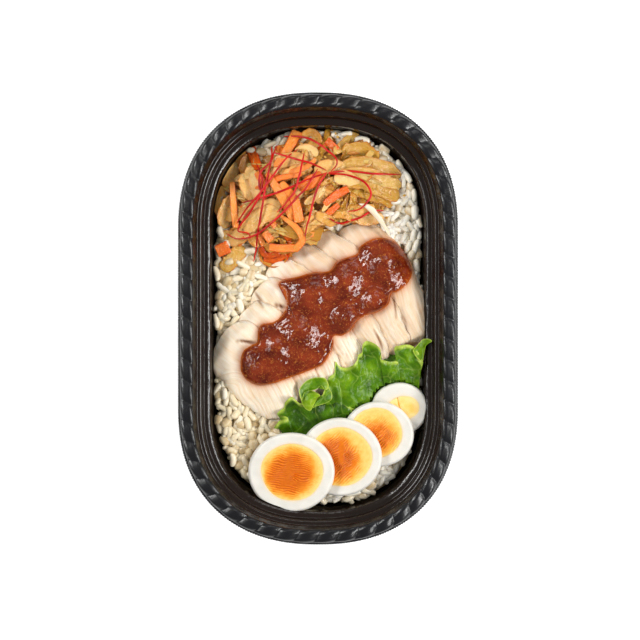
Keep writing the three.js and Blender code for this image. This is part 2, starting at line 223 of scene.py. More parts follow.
def skin(name, grid, material, marks=None, ring=False):
    # closed skin over a grid of rows by columns: columns go round, and rows end in a pole or go round too
    rows, columns = grid.shape[:2]
    points = grid.reshape(-1, 3)
    faces = gridFaces(rows, columns, wrapRows=ring).tolist()
    marks = {key: np.asarray(value).reshape(-1) for key, value in (marks or {}).items()}
    if not ring:
        last = (rows - 1) * columns
        poles = np.stack([grid[0].mean(axis=0), grid[-1].mean(axis=0)])
        points = np.vstack([points, poles])
        near = rows * columns
        faces += [((k + 1) % columns, k, near) for k in range(columns)]
        faces += [(last + k, last + (k + 1) % columns, near + 1) for k in range(columns)]
        for key, value in marks.items():
            marks[key] = np.concatenate([value, [value[:columns].mean(), value[last:].mean()]])
    return fillMesh(name, points, faces, material, marks)


def turning(yaw, pitch, roll, sizes):
    # rotation matrices: roll about X, then pitch about Y, then yaw about Z, each column scaled by the
    # size along that axis of the shape
    cy, sy, cp, sp, cr, sr = (f(a) for a in (yaw, pitch, roll) for f in (np.cos, np.sin))
    rows = [[cy * cp, cy * sp * sr - sy * cr, cy * sp * cr + sy * sr],
            [sy * cp, sy * sp * sr + cy * cr, sy * sp * cr - cy * sr],
            [-sp, cp * sr, cp * cr]]
    matrix = np.moveaxis(np.array(rows), -1, 0)
    return matrix * sizes[:, None, :]


def settle(piece, slotName, *nodes):
    # the piece stands for CAD nodes and rides on the one body
    if nodes:
        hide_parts(*nodes)
    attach(piece, "root")
    return piece


def grainShape(bend):
    # blunt ellipsoid of unit half axes: x the cosine of the latitude, its girth the sine to the power 0.46,
    # bent by bend x^2
    lat = np.linspace(0, math.pi, 7)[1:-1][:, None]
    lon = np.linspace(0, 2 * math.pi, 8, endpoint=False)[None, :]
    x = -np.cos(lat) + 0 * lon
    girth = np.sin(lat) ** 0.46
    y = girth * np.cos(lon) + bend * x ** 2
    z = girth * np.sin(lon)
    points = np.concatenate([np.stack([x, y, z], axis=-1).reshape(-1, 3), [[-1, bend, 0], [1, bend, 0]]])
    ring = np.arange(8)
    after = (ring + 1) % 8
    near = np.stack([after, ring, 0 * ring + 40], axis=1)
    far = np.stack([ring + 32, after + 32, 0 * ring + 41], axis=1)
    return points, [gridFaces(5, 8), near, far]


def sow(name, bends, halves, places, yaw, pitch, roll, tone, material, dice):
    # one small shape for each place, bent, sized and turned a little differently each time
    shapes = [grainShape(bend) for bend in bends]
    unit = np.stack([shape[0] for shape in shapes])[dice.integers(0, len(bends), len(places))]
    sizes = np.array(halves) * dice.normal(1, 0.08, (len(places), 3))
    turned = np.einsum("nij,nmj->nmi", turning(yaw, pitch, roll, sizes), unit)
    points = keepInTray(turned + places[:, None, :])
    shift = (np.arange(len(places)) * unit.shape[1])[:, None]
    faces = []
    for group in shapes[0][1]:
        faces += (group[None] + shift[:, :, None]).reshape(-1, group.shape[1]).tolist()
    marks = {
        "tone": np.repeat(tone, unit.shape[1]),
        "crease": (np.abs(unit[..., 1]) < 0.3) * (unit[..., 2] > 0)}
    print(name, len(places), "sown")
    return fillMesh(name, points.reshape(-1, 3), faces, material, marks)


rasterCell = 1.5
rasterHalfX = 80
rasterHalfY = 120


def lowestOver(pieces):
    # raster of the lowest point of the given pieces in each cell, high where there is none
    low = np.full((int(2 * rasterHalfX / rasterCell), int(2 * rasterHalfY / rasterCell)), 99.0)
    for piece in pieces:
        count = len(piece.data.vertices)
        points = np.empty(count * 3)
        piece.data.vertices.foreach_get("co", points)
        points = points.reshape(-1, 3) / mm
        ix = ((points[:, 0] + rasterHalfX) / rasterCell).astype(int)
        iy = ((points[:, 1] + rasterHalfY) / rasterCell).astype(int)
        np.minimum.at(low, (ix, iy), points[:, 2])
    return low


def lowestAt(low, x, y):
    # the raster's value at each point
    ix = ((x + rasterHalfX) / rasterCell).astype(int)
    iy = ((y + rasterHalfY) / rasterCell).astype(int)
    return low[ix, iy]


# materials

def blackPolypropylene():
    # moulded black polypropylene: near black, a soft gloss and a faint orange peel that breaks up reflections
    material, tree, place = startMaterial("moulded_black_polypropylene")
    peel = noise(tree, place, 900.0, 3.0)
    broad = noise(tree, place, 60.0, 2.0)
    gloss = addNode(tree, "ShaderNodeMapRange", None, {
        "Value": broad.outputs["Fac"], "From Min": 0.3, "From Max": 0.7, "To Min": 0.24, "To Max": 0.32})
    bump = bumpNode(tree, peel.outputs["Fac"], 0.3, 0.0003)
    inside = markNode(tree, "inside")
    # the inside rows are tinted warm brown: a painted reflection of the food in the inner walls
    warmer = mixColour(tree, inside.outputs["Fac"], linear("#121215"), linear("#1c120d"))
    sheen = multiplyAdd(tree, inside.outputs["Fac"], -0.14, gloss.outputs["Result"])
    finishMaterial(tree, {
        "Base Color": warmer.outputs[2], "Roughness": sheen.outputs["Value"], "IOR": 1.45,
        "Normal": bump.outputs["Normal"]})
    return material


def cookedRice(name, pale, deep, creaseColour):
    # cooked grain: milky and moist, light goes a little way in, each grain with its own tone
    material, tree, place = startMaterial(name)
    tone = markNode(tree, "tone")
    crease = markNode(tree, "crease")
    fine = noise(tree, place, 500.0, 2.0)
    mix = multiplyAdd(tree, fine.outputs["Fac"], 0.5, tone.outputs["Fac"])
    colour = addNode(tree, "ShaderNodeValToRGB", None, {"Fac": mix.outputs["Value"]}, [
        (0.1, deep), (1.0, pale)])
    creased = mixColour(tree, crease.outputs["Fac"], colour.outputs["Color"], linear(creaseColour))
    bump = bumpNode(tree, fine.outputs["Fac"], 0.25, 0.0003)
    finishMaterial(tree, {
        "Base Color": creased.outputs[2], "Roughness": 0.22, "IOR": 1.42,
        "Subsurface Weight": 0.4, "Subsurface Radius": (1.0, 0.95, 0.8), "Subsurface Scale": 0.0012,
        "Normal": bump.outputs["Normal"]})
    return material


def poachedChicken():
    # poached breast: pale cream, fine fibres along the slice, an oily orange stain by the sauce, moist sheen
    material, tree, place = startMaterial("poached_chicken")
    fibre = markNode(tree, "fibre")
    across = markNode(tree, "across")
    length = markNode(tree, "lengthwise")
    stain = markNode(tree, "stain")
    strand = addNode(tree, "ShaderNodeCombineXYZ", None, {
        "X": across.outputs["Fac"], "Y": length.outputs["Fac"], "Z": fibre.outputs["Fac"]})
    lines = addNode(tree, "ShaderNodeTexNoise", None, {
        "Vector": strand.outputs["Vector"], "Scale": 0.95, "Detail": 4.0, "Roughness": 0.6})
    patch = noise(tree, place, 90.0, 3.0)
    flesh = addNode(tree, "ShaderNodeValToRGB", None, {"Fac": lines.outputs["Fac"]}, [
        (0.3, "#eacfa8"), (0.48, "#f1e0c6"), (0.64, "#f6ebd8")])
    blush = addNode(tree, "ShaderNodeMapRange", None, {
        "Value": patch.outputs["Fac"], "From Min": 0.52, "From Max": 0.8, "To Min": 0.0, "To Max": 0.4})
    warmer = mixColour(tree, blush.outputs["Result"], flesh.outputs["Color"], linear("#f7d8b4"), "MULTIPLY")
    stained = mixColour(tree, stain.outputs["Fac"], warmer.outputs[2], linear("#dd8c4e"), "MULTIPLY")
    # seam mark: painted shade along each slice's far edge and ends, in the fibre grooves and the cracks, and
    # a darker tone on the last three slices
    seamShadeAndTone = markNode(tree, "seamShadeAndTone")
    shadedAndToned = mixColour(tree, seamShadeAndTone.outputs["Fac"], stained.outputs[2], linear("#cfa67a"), "MULTIPLY")
    # the cracks turn dark brown: painted shade in the gaps
    crack = markNode(tree, "crack")
    crackShaded = mixColour(tree, crack.outputs["Fac"], shadedAndToned.outputs[2], linear("#7a4a30"), "MULTIPLY")
    bump = bumpNode(tree, lines.outputs["Fac"], 0.4, 0.0004)
    finishMaterial(tree, {
        "Base Color": crackShaded.outputs[2], "Roughness": 0.4, "IOR": 1.4, "Subsurface Weight": 0.25,
        "Subsurface Radius": (1.0, 0.7, 0.45), "Subsurface Scale": 0.0018, "Normal": bump.outputs["Normal"]})
    return material


def misoSauce():
    # thick sweet bean sauce: deep red brown, wet gloss, fine orange grains of ground bean and chilli
    material, tree, place = startMaterial("thick_bean_sauce")
    thin = markNode(tree, "thin")
    cloud = noise(tree, place, 130.0, 4.0)
    body = addNode(tree, "ShaderNodeValToRGB", None, {"Fac": cloud.outputs["Fac"]}, [
        (0.3, "#521206"), (0.5, "#74260e"), (0.72, "#8e3518")])
    edge = mixColour(tree, thin.outputs["Fac"], body.outputs["Color"], linear("#c0601c"))
    grain = addNode(tree, "ShaderNodeTexNoise", None, {
        "Vector": place, "Scale": 900.0, "Detail": 4.0, "Distortion": 1.4})
    speck = addNode(tree, "ShaderNodeMapRange", None, {
        "Value": grain.outputs["Fac"], "From Min": 0.56, "From Max": 0.76, "To Min": 0.0, "To Max": 0.75})
    speckled = mixColour(tree, speck.outputs["Result"], edge.outputs[2], linear("#d8873a"))
    paste = noise(tree, place, 620.0, 2.0)
    bump = bumpNode(tree, paste.outputs["Fac"], 0.42, 0.0004)
    finishMaterial(tree, {
        "Base Color": speckled.outputs[2], "Roughness": 0.09, "IOR": 1.42, "Subsurface Weight": 0.15,
        "Subsurface Radius": (1.0, 0.3, 0.12), "Subsurface Scale": 0.0015, "Normal": bump.outputs["Normal"]})
    return material


def frillyLettuce():
    # green leaf lettuce: fresh yellowish green, lighter frill, pale net of veins and a waxy skin
    material, tree, place = startMaterial("green_leaf_lettuce")
    rim = markNode(tree, "rim")
    vein = markNode(tree, "vein")
    pale = markNode(tree, "pale")
    patch = noise(tree, place, 140.0, 4.0)
    # the pale mark holds each piece's tone plus painted shade: darker in the pits between blisters
    tone = multiplyAdd(tree, pale.outputs["Fac"], 0.45, patch.outputs["Fac"])
    blade = addNode(tree, "ShaderNodeValToRGB", None, {"Fac": tone.outputs["Value"]}, [
        (0.18, "#284a00"), (0.46, "#4a7600"), (0.68, "#6c9400"), (0.95, "#9cb824")])
    edged = mixColour(tree, rim.outputs["Fac"], blade.outputs["Color"], linear("#b4c850"))
    veined = mixColour(tree, vein.outputs["Fac"], edged.outputs[2], linear("#a2bc50"))
    brown = markNode(tree, "brown")
    browned = mixColour(tree, brown.outputs["Fac"], veined.outputs[2], linear("#6a4a30"))
    fine = noise(tree, place, 650.0, 2.0)
    bump = bumpNode(tree, fine.outputs["Fac"], 0.5, 0.0006)
    finishMaterial(tree, {
        "Base Color": browned.outputs[2], "Roughness": 0.34, "IOR": 1.36, "Subsurface Weight": 0.15,
        "Subsurface Radius": (0.5, 1.0, 0.2), "Subsurface Scale": 0.001, "Normal": bump.outputs["Normal"]})
    return material


def boiledEggWhite():
    # set egg white: smooth, slightly translucent white with a soft sheen
    material, tree, place = startMaterial("boiled_egg_white")
    fine = noise(tree, place, 160.0, 3.0)
    warm = markNode(tree, "warm")
    colour = addNode(tree, "ShaderNodeValToRGB", None, {"Fac": fine.outputs["Fac"]}, [
        (0.3, "#dedad1"), (0.7, "#e8e4db")])
    warmed = mixColour(tree, warm.outputs["Fac"], colour.outputs["Color"], linear("#fbd9a8"))
    bump = bumpNode(tree, fine.outputs["Fac"], 0.12, 0.0006)
    finishMaterial(tree, {
        "Base Color": warmed.outputs[2], "Roughness": 0.3, "IOR": 1.38, "Subsurface Weight": 0.4,
        "Subsurface Radius": (1.0, 0.9, 0.75), "Subsurface Scale": 0.002, "Normal": bump.outputs["Normal"]})
    return material


def boiledEggYolk():
    # just set yolk: pale yellow rim, orange body and a deep orange core, creamy and slightly moist
    material, tree, place = startMaterial("boiled_egg_yolk")
    depth = markNode(tree, "depth")
    fine = noise(tree, place, 420.0, 4.0)
    mixed = multiplyAdd(tree, fine.outputs["Fac"], 0.12, depth.outputs["Fac"])
    colour = addNode(tree, "ShaderNodeValToRGB", None, {"Fac": mixed.outputs["Value"]}, [
        (0.08, "#fbdc92"), (0.28, "#fbc868"), (0.5, "#f4a030"), (0.75, "#e07600"), (1.0, "#ca5e00")])
    bump = bumpNode(tree, fine.outputs["Fac"], 0.25, 0.0004)
    finishMaterial(tree, {
        "Base Color": colour.outputs["Color"], "Roughness": 0.42, "IOR": 1.42, "Subsurface Weight": 0.2,
        "Subsurface Radius": (1.0, 0.5, 0.15), "Subsurface Scale": 0.0015, "Normal": bump.outputs["Normal"]})
    return material


def braisedVegetable(name, stops, translucency, edgeShadeColour, contrast=0.6):
    # soy braised root: oily gloss, fibres along each strip and a tone of its own on each one
    material, tree, place = startMaterial(name)
    tone = markNode(tree, "tone")
    along = markNode(tree, "along")
    across = markNode(tree, "across")
    strand = addNode(tree, "ShaderNodeCombineXYZ", None, {
        "X": across.outputs["Fac"], "Y": along.outputs["Fac"], "Z": tone.outputs["Fac"]})
    stretch = addNode(tree, "ShaderNodeVectorMath", {"operation": "MULTIPLY"}, {
        0: strand.outputs["Vector"], 1: (1.6, 0.2, 40.0)})
    fibre = addNode(tree, "ShaderNodeTexNoise", None, {
        "Vector": stretch.outputs["Vector"], "Scale": 1.0, "Detail": 4.0, "Roughness": 0.62})
    cloud = noise(tree, place, 380.0, 3.0)
    both = multiplyAdd(tree, cloud.outputs["Fac"], contrast * 0.6, tone.outputs["Fac"])
    mixed = multiplyAdd(tree, fibre.outputs["Fac"], contrast * 0.6, both.outputs["Value"])
    colour = addNode(tree, "ShaderNodeValToRGB", None, {"Fac": mixed.outputs["Value"]}, stops)
    # each strip darker towards its edges: painted shade that rounds it
    edge = markNode(tree, "edge")
    edgeShaded = mixColour(tree, edge.outputs["Fac"], colour.outputs["Color"], linear(edgeShadeColour), "MULTIPLY")
    fine = noise(tree, place, 900.0, 2.0)
    height = multiplyAdd(tree, fine.outputs["Fac"], 0.35, mixed.outputs["Value"])
    bump = bumpNode(tree, height.outputs["Value"], 1.0, 0.0011)
    finishMaterial(tree, {
        "Base Color": edgeShaded.outputs[2], "Roughness": 0.12, "IOR": 1.48,
        "Subsurface Weight": translucency, "Subsurface Radius": (1.0, 0.55, 0.2), "Subsurface Scale": 0.0015,
        "Normal": bump.outputs["Normal"]})
    return material


def driedChilli():
    # thread cut dried chilli: deep glossy red
    material, tree, place = startMaterial("dried_chilli_thread")
    tone = noise(tree, place, 120.0, 2.0)
    colour = addNode(tree, "ShaderNodeValToRGB", None, {"Fac": tone.outputs["Fac"]}, [
        (0.3, "#a00606"), (0.6, "#d21410")])
    finishMaterial(tree, {"Base Color": colour.outputs["Color"], "Roughness": 0.35, "IOR": 1.36})
    return material


blackPlastic = blackPolypropylene()
riceFinish = cookedRice("cooked_rice_grain", "#faf2e1", "#e6d6b4", "#e9dcc0")
barleyFinish = cookedRice("cooked_rolled_barley", "#eee0c4", "#dac69e", "#cab084")
# a darker rice for the core seen in the gaps: painted shade between the grains
riceShadowFinish = cookedRice("rice_between_grains_in_painted_shade", "#e6d2a8", "#d0b888", "#d0b888")
chickenFinish = poachedChicken()
sauceFinish = misoSauce()
lettuceFinish = frillyLettuce()
eggWhiteFinish = boiledEggWhite()
eggYolkFinish = boiledEggYolk()
burdockFinish = braisedVegetable("braised_burdock_root", [
    (0.3, "#8c5420"), (0.48, "#c8842e"), (0.68, "#e4a64c"), (1.0, "#f6ca84")], 0.35, "#cc8e48")
carrotFinish = braisedVegetable("braised_carrot", [
    (0.3, "#ac3804"), (0.54, "#ea6816"), (0.92, "#fa9c46")], 0.3, "#e88038")
chilliFinish = driedChilli()
stalkFinish = braisedVegetable("braised_burdock_stalk", [
    (0.3, "#8a5810"), (0.52, "#b88026"), (0.74, "#cc9636"), (1.0, "#e2bc6c")], 0.45, "#d89c50")
heapShadowFinish = braisedVegetable("braised_root_in_shadow", [
    (0.1, "#845424"), (0.5, "#b07a34"), (1.0, "#c8944c")], 0.1, "#c08a52")
print("materials made")


# tray: a thin moulded shell whose section is carried round the outline

trayLow, trayHigh = boxOf("tray")
tray = {
    "straightSide": 89.0,
    "endExponent": 2.3,
    "strands": 60,
    "strandDepth": 1.3,
    "teeth": 460,
    "toothDepth": 0.6,
    "columns": 1380,
    "ropeInner": 8.5,
    "ropeOuter": 1.5,
}
trayHeight = trayHigh[2]


def traceOutline(count=6000):
    # superellipse x = a cos^(2/n), y = b sin^(2/n) whose two halves are pushed apart by the straight side
    power = 2 / tray["endExponent"]
    halfStraight = tray["straightSide"] / 2
    half = np.linspace(0, math.pi, 2000)
    x = np.sign(np.cos(half)) * np.abs(np.cos(half)) ** power * trayHigh[0]
    y = np.sin(half).clip(0) ** power * (trayHigh[1] - halfStraight) + halfStraight
    x = np.concatenate([x, -x, x[:1]])
    y = np.concatenate([y, -y, y[:1]])
    length = np.concatenate([[0], np.cumsum(np.hypot(np.diff(x), np.diff(y)))])
    even = np.linspace(0, length[-1], count + 1)
    x = np.interp(even, length, x)
    y = np.interp(even, length, y)
    dx = np.roll(x[:-1], -12) - np.roll(x[:-1], 12)
    dy = np.roll(y[:-1], -12) - np.roll(y[:-1], 12)
    norm = np.hypot(dx, dy)
    inward = np.stack([-dy / norm, dx / norm], axis=1)
    return np.stack([x, y], axis=1), np.vstack([inward, inward[:1]]), length[-1]


outline, inward, perimeter = traceOutline()


def onOutline(u, inset):
    # points a fraction u round the outline, moved inwards by the inset
    place = np.mod(u, 1)
    table = np.linspace(0, 1, len(outline))
    x, y = (np.interp(place, table, outline[:, k]) for k in range(2))
    nx, ny = (np.interp(place, table, inward[:, k]) for k in range(2))
    return x + nx * inset, y + ny * inset


def insetAt(x, y):
    # how far inside the outline a point lies, from the superellipse's own radius
    n = tray["endExponent"]
    pastSide = np.maximum(np.abs(y) - tray["straightSide"] / 2, 0) / (trayHigh[1] - tray["straightSide"] / 2)
    radius = (np.abs(x / trayHigh[0]) ** n + pastSide ** n) ** (1 / n)
    return (1 - radius) * trayHigh[0]


# the wall's inner face: height, and how far inside the outline it lies there
wallInside = np.array([
    [1.0, 19.2], [25.0, 16.6], [25.9, 14.0], [26.2, 13.1], [30.8, 12.0], [31.4, 9.9], [34.8, 8.5]])
wallGap = 0.35


def keepInTray(points):
    # points beyond the wall's inner face are drawn in to just inside it at their own height: x and the
    # part of y past the straight side shrink by one factor
    x, y, z = np.moveaxis(points, -1, 0)
    limit = np.interp(z, wallInside[:, 0], wallInside[:, 1]) + wallGap
    allowed = 1 - limit / trayHigh[0]
    present = 1 - insetAt(x, y) / trayHigh[0]
    squeeze = np.minimum(allowed / np.maximum(present, 1e-6), 1)
    pastSide = np.maximum(np.abs(y) - tray["straightSide"] / 2, 0)
    y = y - np.sign(y) * pastSide * (1 - squeeze)
    return np.stack([x * squeeze, y, z], axis=-1)


def roundCorners(points, radius, steps=4):
    # each inner corner becomes a quadratic curve between points a radius before and after it
    points = np.array(points, float)
    before = points[:-2] - points[1:-1]
    after = points[2:] - points[1:-1]
    longBefore = np.linalg.norm(before, axis=1, keepdims=True)
    longAfter = np.linalg.norm(after, axis=1, keepdims=True)
    reach = np.minimum(radius, 0.45 * np.minimum(longBefore, longAfter))
    start = points[1:-1] + before / longBefore * reach
    end = points[1:-1] + after / longAfter * reach
    t = np.linspace(0, 1, steps)[None, :, None]
    curve = (1 - t) ** 2 * start[:, None] + 2 * t * (1 - t) * points[1:-1][:, None] + t ** 2 * end[:, None]
    return np.vstack([points[:1], curve.reshape(-1, 2), points[-1:]])


def makeTray():
    # rows go from the floor up the inside, over the rope rim and lip, and back under; between its strands
    # the rope sinks by the strand's depth times the square of the distance from the strand's crown
    columns = tray["columns"]
    inside = roundCorners([
        [40, 1.0], [19.2, 1.0], [16.6, 25.0], [14.9, 25.8], [13.1, 26.1], [12.3, 30.4], [11.2, 30.9],
        [9.9, 31.1], [tray["ropeInner"], trayHeight - 3.2]], 0.45, 3)
    rope = roundCorners([
        [tray["ropeInner"], trayHeight - 3.2], [8.0, trayHeight - 0.7], [6.4, trayHeight + 0.1],
        [2.9, trayHeight - 0.6], [1.6, trayHeight - 1.7],
        [tray["ropeOuter"], trayHeight - 5.4]], 1.3, 8)[1:-1]
    lip = np.array([
        [1.45, trayHeight - 5.5], [1.0, trayHeight - 5.6], [0.35, trayHeight - 5.6], [0.05, trayHeight - 5.9],
        [0.05, trayHeight - 6.3], [0.5, trayHeight - 6.6], [1.6, trayHeight - 6.5]])
    under = roundCorners([
        [2.6, trayHeight - 5.9], [4.2, trayHeight - 3.4], [6.2, trayHeight - 3.2], [7.7, trayHeight - 4.4],
        [8.8, 31.0], [10.8, 30.8], [11.9, 25.8], [14.6, 25.4], [18.4, 0.0], [40, 0.0]], 1.6, 1)
    section = np.vstack([inside, rope, lip, under])
    ropeTaper = np.zeros(len(section))
    lipStart = len(inside) + len(rope)
    ropeTurn = np.linspace(0.12, math.pi - 0.12, len(rope))
    ropeTaper[len(inside):lipStart] = np.sin(ropeTurn) ** 0.5
    lipRow = np.zeros(len(section))
    lipRow[lipStart + 1:lipStart + 6] = [0.4, 1, 1, 1, 0.5]
    twist = np.interp(section[:, 0], [tray["ropeOuter"], tray["ropeInner"]], [1, 0])
    twist[lipStart:lipStart + len(lip)] = 1
    twist[lipStart + len(lip):] = 1
    slant = (tray["ropeInner"] - tray["ropeOuter"]) / perimeter
    bend = 0.62 * twist + 0.05 * np.sin(2 * math.pi * twist)
    u = np.arange(columns)[None, :] / columns - slant * bend[:, None]
    strand = np.mod(tray["strands"] * np.arange(columns) / columns, 1)
    crown = 1 - np.abs(2 * strand - 1) ** 2.0
    tooth = np.abs(2 * np.mod(tray["teeth"] * np.arange(columns) / columns, 1) - 1)
    sunk = tray["strandDepth"] * ropeTaper[:, None] * (1 - crown[None, :])
    archX = section[:, 0] - 5.0
    archZ = section[:, 1] - (trayHeight - 7.5)
    archSize = np.hypot(archX, archZ) + 1e-9
    scallop = 0.3 * np.exp(-((section[:, 0] - tray["ropeInner"]) / 0.7) ** 2)
    inset = section[:, 0][:, None] - sunk * (archX / archSize)[:, None] + scallop[:, None] * crown[None, :]
    inset = inset + tray["toothDepth"] * lipRow[:, None] * tooth[None, :]
    z = section[:, 1][:, None] - sunk * (archZ / archSize)[:, None]
    x, y = onOutline(u, inset)
    waver = 0.16 * bumps(x, y, 7, 3) * (np.abs(section[:, 0] - 14.5) < 2)[:, None]
    # inside mark: the inner face is a little glossier and carries the painted brown reflection of the food
    inner = (np.arange(len(section)) < len(inside))[:, None] + 0 * z
    piece = skin("tray_shell", np.stack([x, y, z + waver], axis=-1), blackPlastic, {"inside": inner})
    return settle(piece, "tray_plastic", "tray")


makeTray()
print("tray made")


# chicken: slices fanned like roof tiles, each a soft flattened oval

sliceNodes = ["chicken_slice_%d" % (k + 1) for k in range(7)]
chicken = {
    "fanAngle": 0.498,
    "step": 12.9,
    "thickness": 4.1,
    "halfWidth": 13.6,
    "roundness": 3.4,
    "firstNearReach": 18.4,
    "lastFarReach": 16.0,
    "skew": [-0.4, -0.4, -0.34, -0.1, 0.05, 0.1, 0.1],
    "bend": 5.0,
    "reachUp": [28.5, 33, 41, 46, 49, 49, 45.5],
    "reachDown": [24.5, 24, 25, 26, 26, 25.5, 26],
    "coarse": [0.25, 0.6, 1, 1, 1, 1, 1],
    "droop": 1.6,
    "fibre": 2.3,
    "fineFibre": 0.95,
    "crackWidth": 0.6,
    "crackShadeWidth": 0.8,
    "rows": 200,
    "columns": 124,
}
fanX, fanY = math.cos(chicken["fanAngle"]), math.sin(chicken["fanAngle"])
sliceCentres = np.array([middleOf(node) for node in sliceNodes])
midShift = (chicken["reachUp"][3] - chicken["reachDown"][3]) / 2
stackMiddle = sliceCentres[3][:2] - midShift * np.array([-fanY, fanX])
sliceTilt = math.asin((chicken["thickness"] + 0.2) / chicken["step"])
sliceMiddleZ = sliceCentres[3][2] + 0.6


def toStack(x, y):
    # place in the fan of slices: p across the slices, q along them
    dx = x - stackMiddle[0]
    dy = y - stackMiddle[1]
    return dx * fanX + dy * fanY, -dx * fanY + dy * fanX


def fromStack(p, q):
    return stackMiddle[0] + fanX * p - fanY * q, stackMiddle[1] + fanY * p + fanX * q


def slicePlace(i):
    # how far along the fan slice i lies
    return (i - 3) * chicken["step"]


def sliceHeight(i, p, q):
    # every slice leans on the next one, and the stack falls off towards its ends and its far side
    lean = math.tan(sliceTilt) * (p - slicePlace(i))
    pastEdge = np.maximum(p - slicePlace(6) - 0.7, 0)
    return sliceMiddleZ + lean - 0.0014 * q * q - 0.03 * pastEdge ** 2


def sliceReach(i, q):
    # half width of slice i at a place along it, near side and far side: (1 - |q|^n)^(1/n) with a slightly
    # wavy edge, and an oval on the near side of the first slice
    reach = np.where(q > 0, chicken["reachUp"][i], chicken["reachDown"][i])
    taper = (1 - np.clip(np.abs(q / reach), 0, 1) ** chicken["roundness"]) ** (1 / chicken["roundness"])
    far = chicken["lastFarReach"] if i == 6 else chicken["halfWidth"]
    wave = 1 + 0.07 * bumps(q, q * 0 + 31.0 * i, 8, i) + 0.03 * bumps(q, q * 0 + 17.0 * i, 3, i)
    near = chicken["halfWidth"] * taper
    if i == 0:
        oval = np.sqrt(np.clip(1 - ((q - 8) / 33) ** 2, 0, 1))
        near = chicken["firstNearReach"] * oval * np.minimum(1.4 * taper, 1)
    return near * (2 - wave), far * taper * wave


def sliceShear(i, q, v):
    # the upper ends are cut aslant: they reach further on the near side
    return chicken["skew"][i] * v * smoothStep(q, 0, 0.8 * chicken["reachUp"][i])


def sliceLean(i, q):
    # the upper ends bend towards the near side, and the last slice lies a little askew
    bent = -chicken["bend"] * smoothStep(q, 0.35 * chicken["reachUp"][i], 1.1 * chicken["reachUp"][i])
    return bent + (0.08 * q if i == 6 else 0)


def sliceTopOffset(i, v, q, near, far):
    # the top falls towards the far edge, which stays 1.3 mm thick, and towards the rounded ends
    share = np.where(v > 0, v / np.maximum(far, 0.1), v / np.maximum(near, 0.1))
    ends = np.abs(q) / np.where(q > 0, chicken["reachUp"][i], chicken["reachDown"][i])
    fall = (chicken["thickness"] - 1.0) * smoothStep(share, 0.35, 1.02) + 1.2 * smoothStep(ends, 0.75, 1.0)
    return chicken["thickness"] / 2 * (1 - np.clip(np.abs(share), 0, 1) ** 9) ** 0.5 - fall


def sliceDroop(ends):
    # the ends sink over the last two fifths of the reach
    return -chicken["droop"] * smoothStep(ends, 0.6, 1.0) ** 2


def chickenTop(x, y):
    # upper side of the highest slice over each point, or a low value beside the chicken
    p, q = toStack(x, y)
    top = np.full(np.shape(x), 15.0)
    for i in range(7):
        v = p - slicePlace(i) - sliceLean(i, q)
        along = q + sliceShear(i, q, v)
        near, far = sliceReach(i, along)
        reachUp, reachDown = chicken["reachUp"][i], chicken["reachDown"][i]
        inside = (v < far) & (v > -near) & (along < reachUp) & (along > -reachDown)
        ends = np.abs(along) / np.where(along > 0, reachUp, reachDown)
        z = sliceHeight(i, p, q) + sliceTopOffset(i, v, along, near, far) + sliceDroop(ends)
        top = np.where(inside & (z > top), z, top)
    return top


sauce = {
    "upper": [[-39.4, -24.1], [-39.4, -20.6], [-37.8, -16.3], [-33.5, -13.4], [-31.0, -11.9],
              [-30.5, -6.1], [-28.4, -2.8], [-22.5, -1.8], [-18.3, 1.8], [-16.0, 6.2], [-16.0, 11.3],
              [-17.1, 15.0], [-20.3, 17.0], [-17.8, 20.0], [-11.0, 21.1], [-2.2, 23.6], [5.7, 24.3],
              [10.1, 29.4], [19.5, 32.7], [21.3, 36.6], [28.2, 40.6], [36.2, 40.6], [42.6, 36.6],
              [47.0, 30.9], [48.4, 24.3]],
    "lower": [[-39.4, -24.1], [-39.2, -27.1], [-36.3, -31.5], [-30.5, -34.0], [-22.5, -32.9],
              [-13.9, -30.0], [-5.1, -26.8], [2.0, -23.5], [5.7, -18.5], [7.9, -13.4], [8.3, -9.0],
              [12.2, -8.7], [16.6, -6.1], [20.2, -1.1], [24.6, 1.5], [30.4, 3.3], [35.5, 6.9],
              [37.5, 12.7], [39.8, 13.4], [44.1, 16.3], [47.0, 20.0], [48.4, 24.3]],
    "lumps": [[-28, -24, 13, 0.55], [-21, -14, 9, 0.95], [-9.6, -8, 11, 1.15], [-4, 13, 11, 1.0],
              [12, 18, 12, 1.15], [15, 0, 8, 1.1], [35, 29, 11, 1.35], [29, 9, 8, 1.0],
              [-31, -13, 6, 0.7]],
    "edgeRadius": 2.8,
    "film": 0.8,
    "swell": 4.8,
    "depth": 0.9,
    "rows": 260,
    "across": 120,
}


def sauceRibbon(s, t):
    # point between the two edges: s is the share along both, t goes from -1 on the lower edge to 1 on the
    # upper one
    stations = np.linspace(0, 1, 600)
    upper, lower = (splineThrough(sauce[side], 600) for side in ("upper", "lower"))
    ux, uy, lx, ly = (np.interp(s, stations, edge[:, k]) for edge in (upper, lower) for k in (0, 1))
    share = (t + 1) / 2
    return lx + (ux - lx) * share, ly + (uy - ly) * share


sauceEdge = np.concatenate([
    np.stack(sauceRibbon(np.linspace(0, 1, 220), np.full(220, side)), axis=1) for side in (1.0, -1.0)])


def distanceToSauce(x, y):
    # distance to the nearest point of the sauce's edge
    flat = np.stack([x.ravel(), y.ravel()], axis=1)
    near = np.empty(len(flat))
    for start in range(0, len(flat), 4000):
        part = flat[start:start + 4000]
        gap = np.linalg.norm(part[:, None] - sauceEdge[None], axis=2)
        near[start:start + 4000] = gap.min(axis=1)
    return near.reshape(np.shape(x))


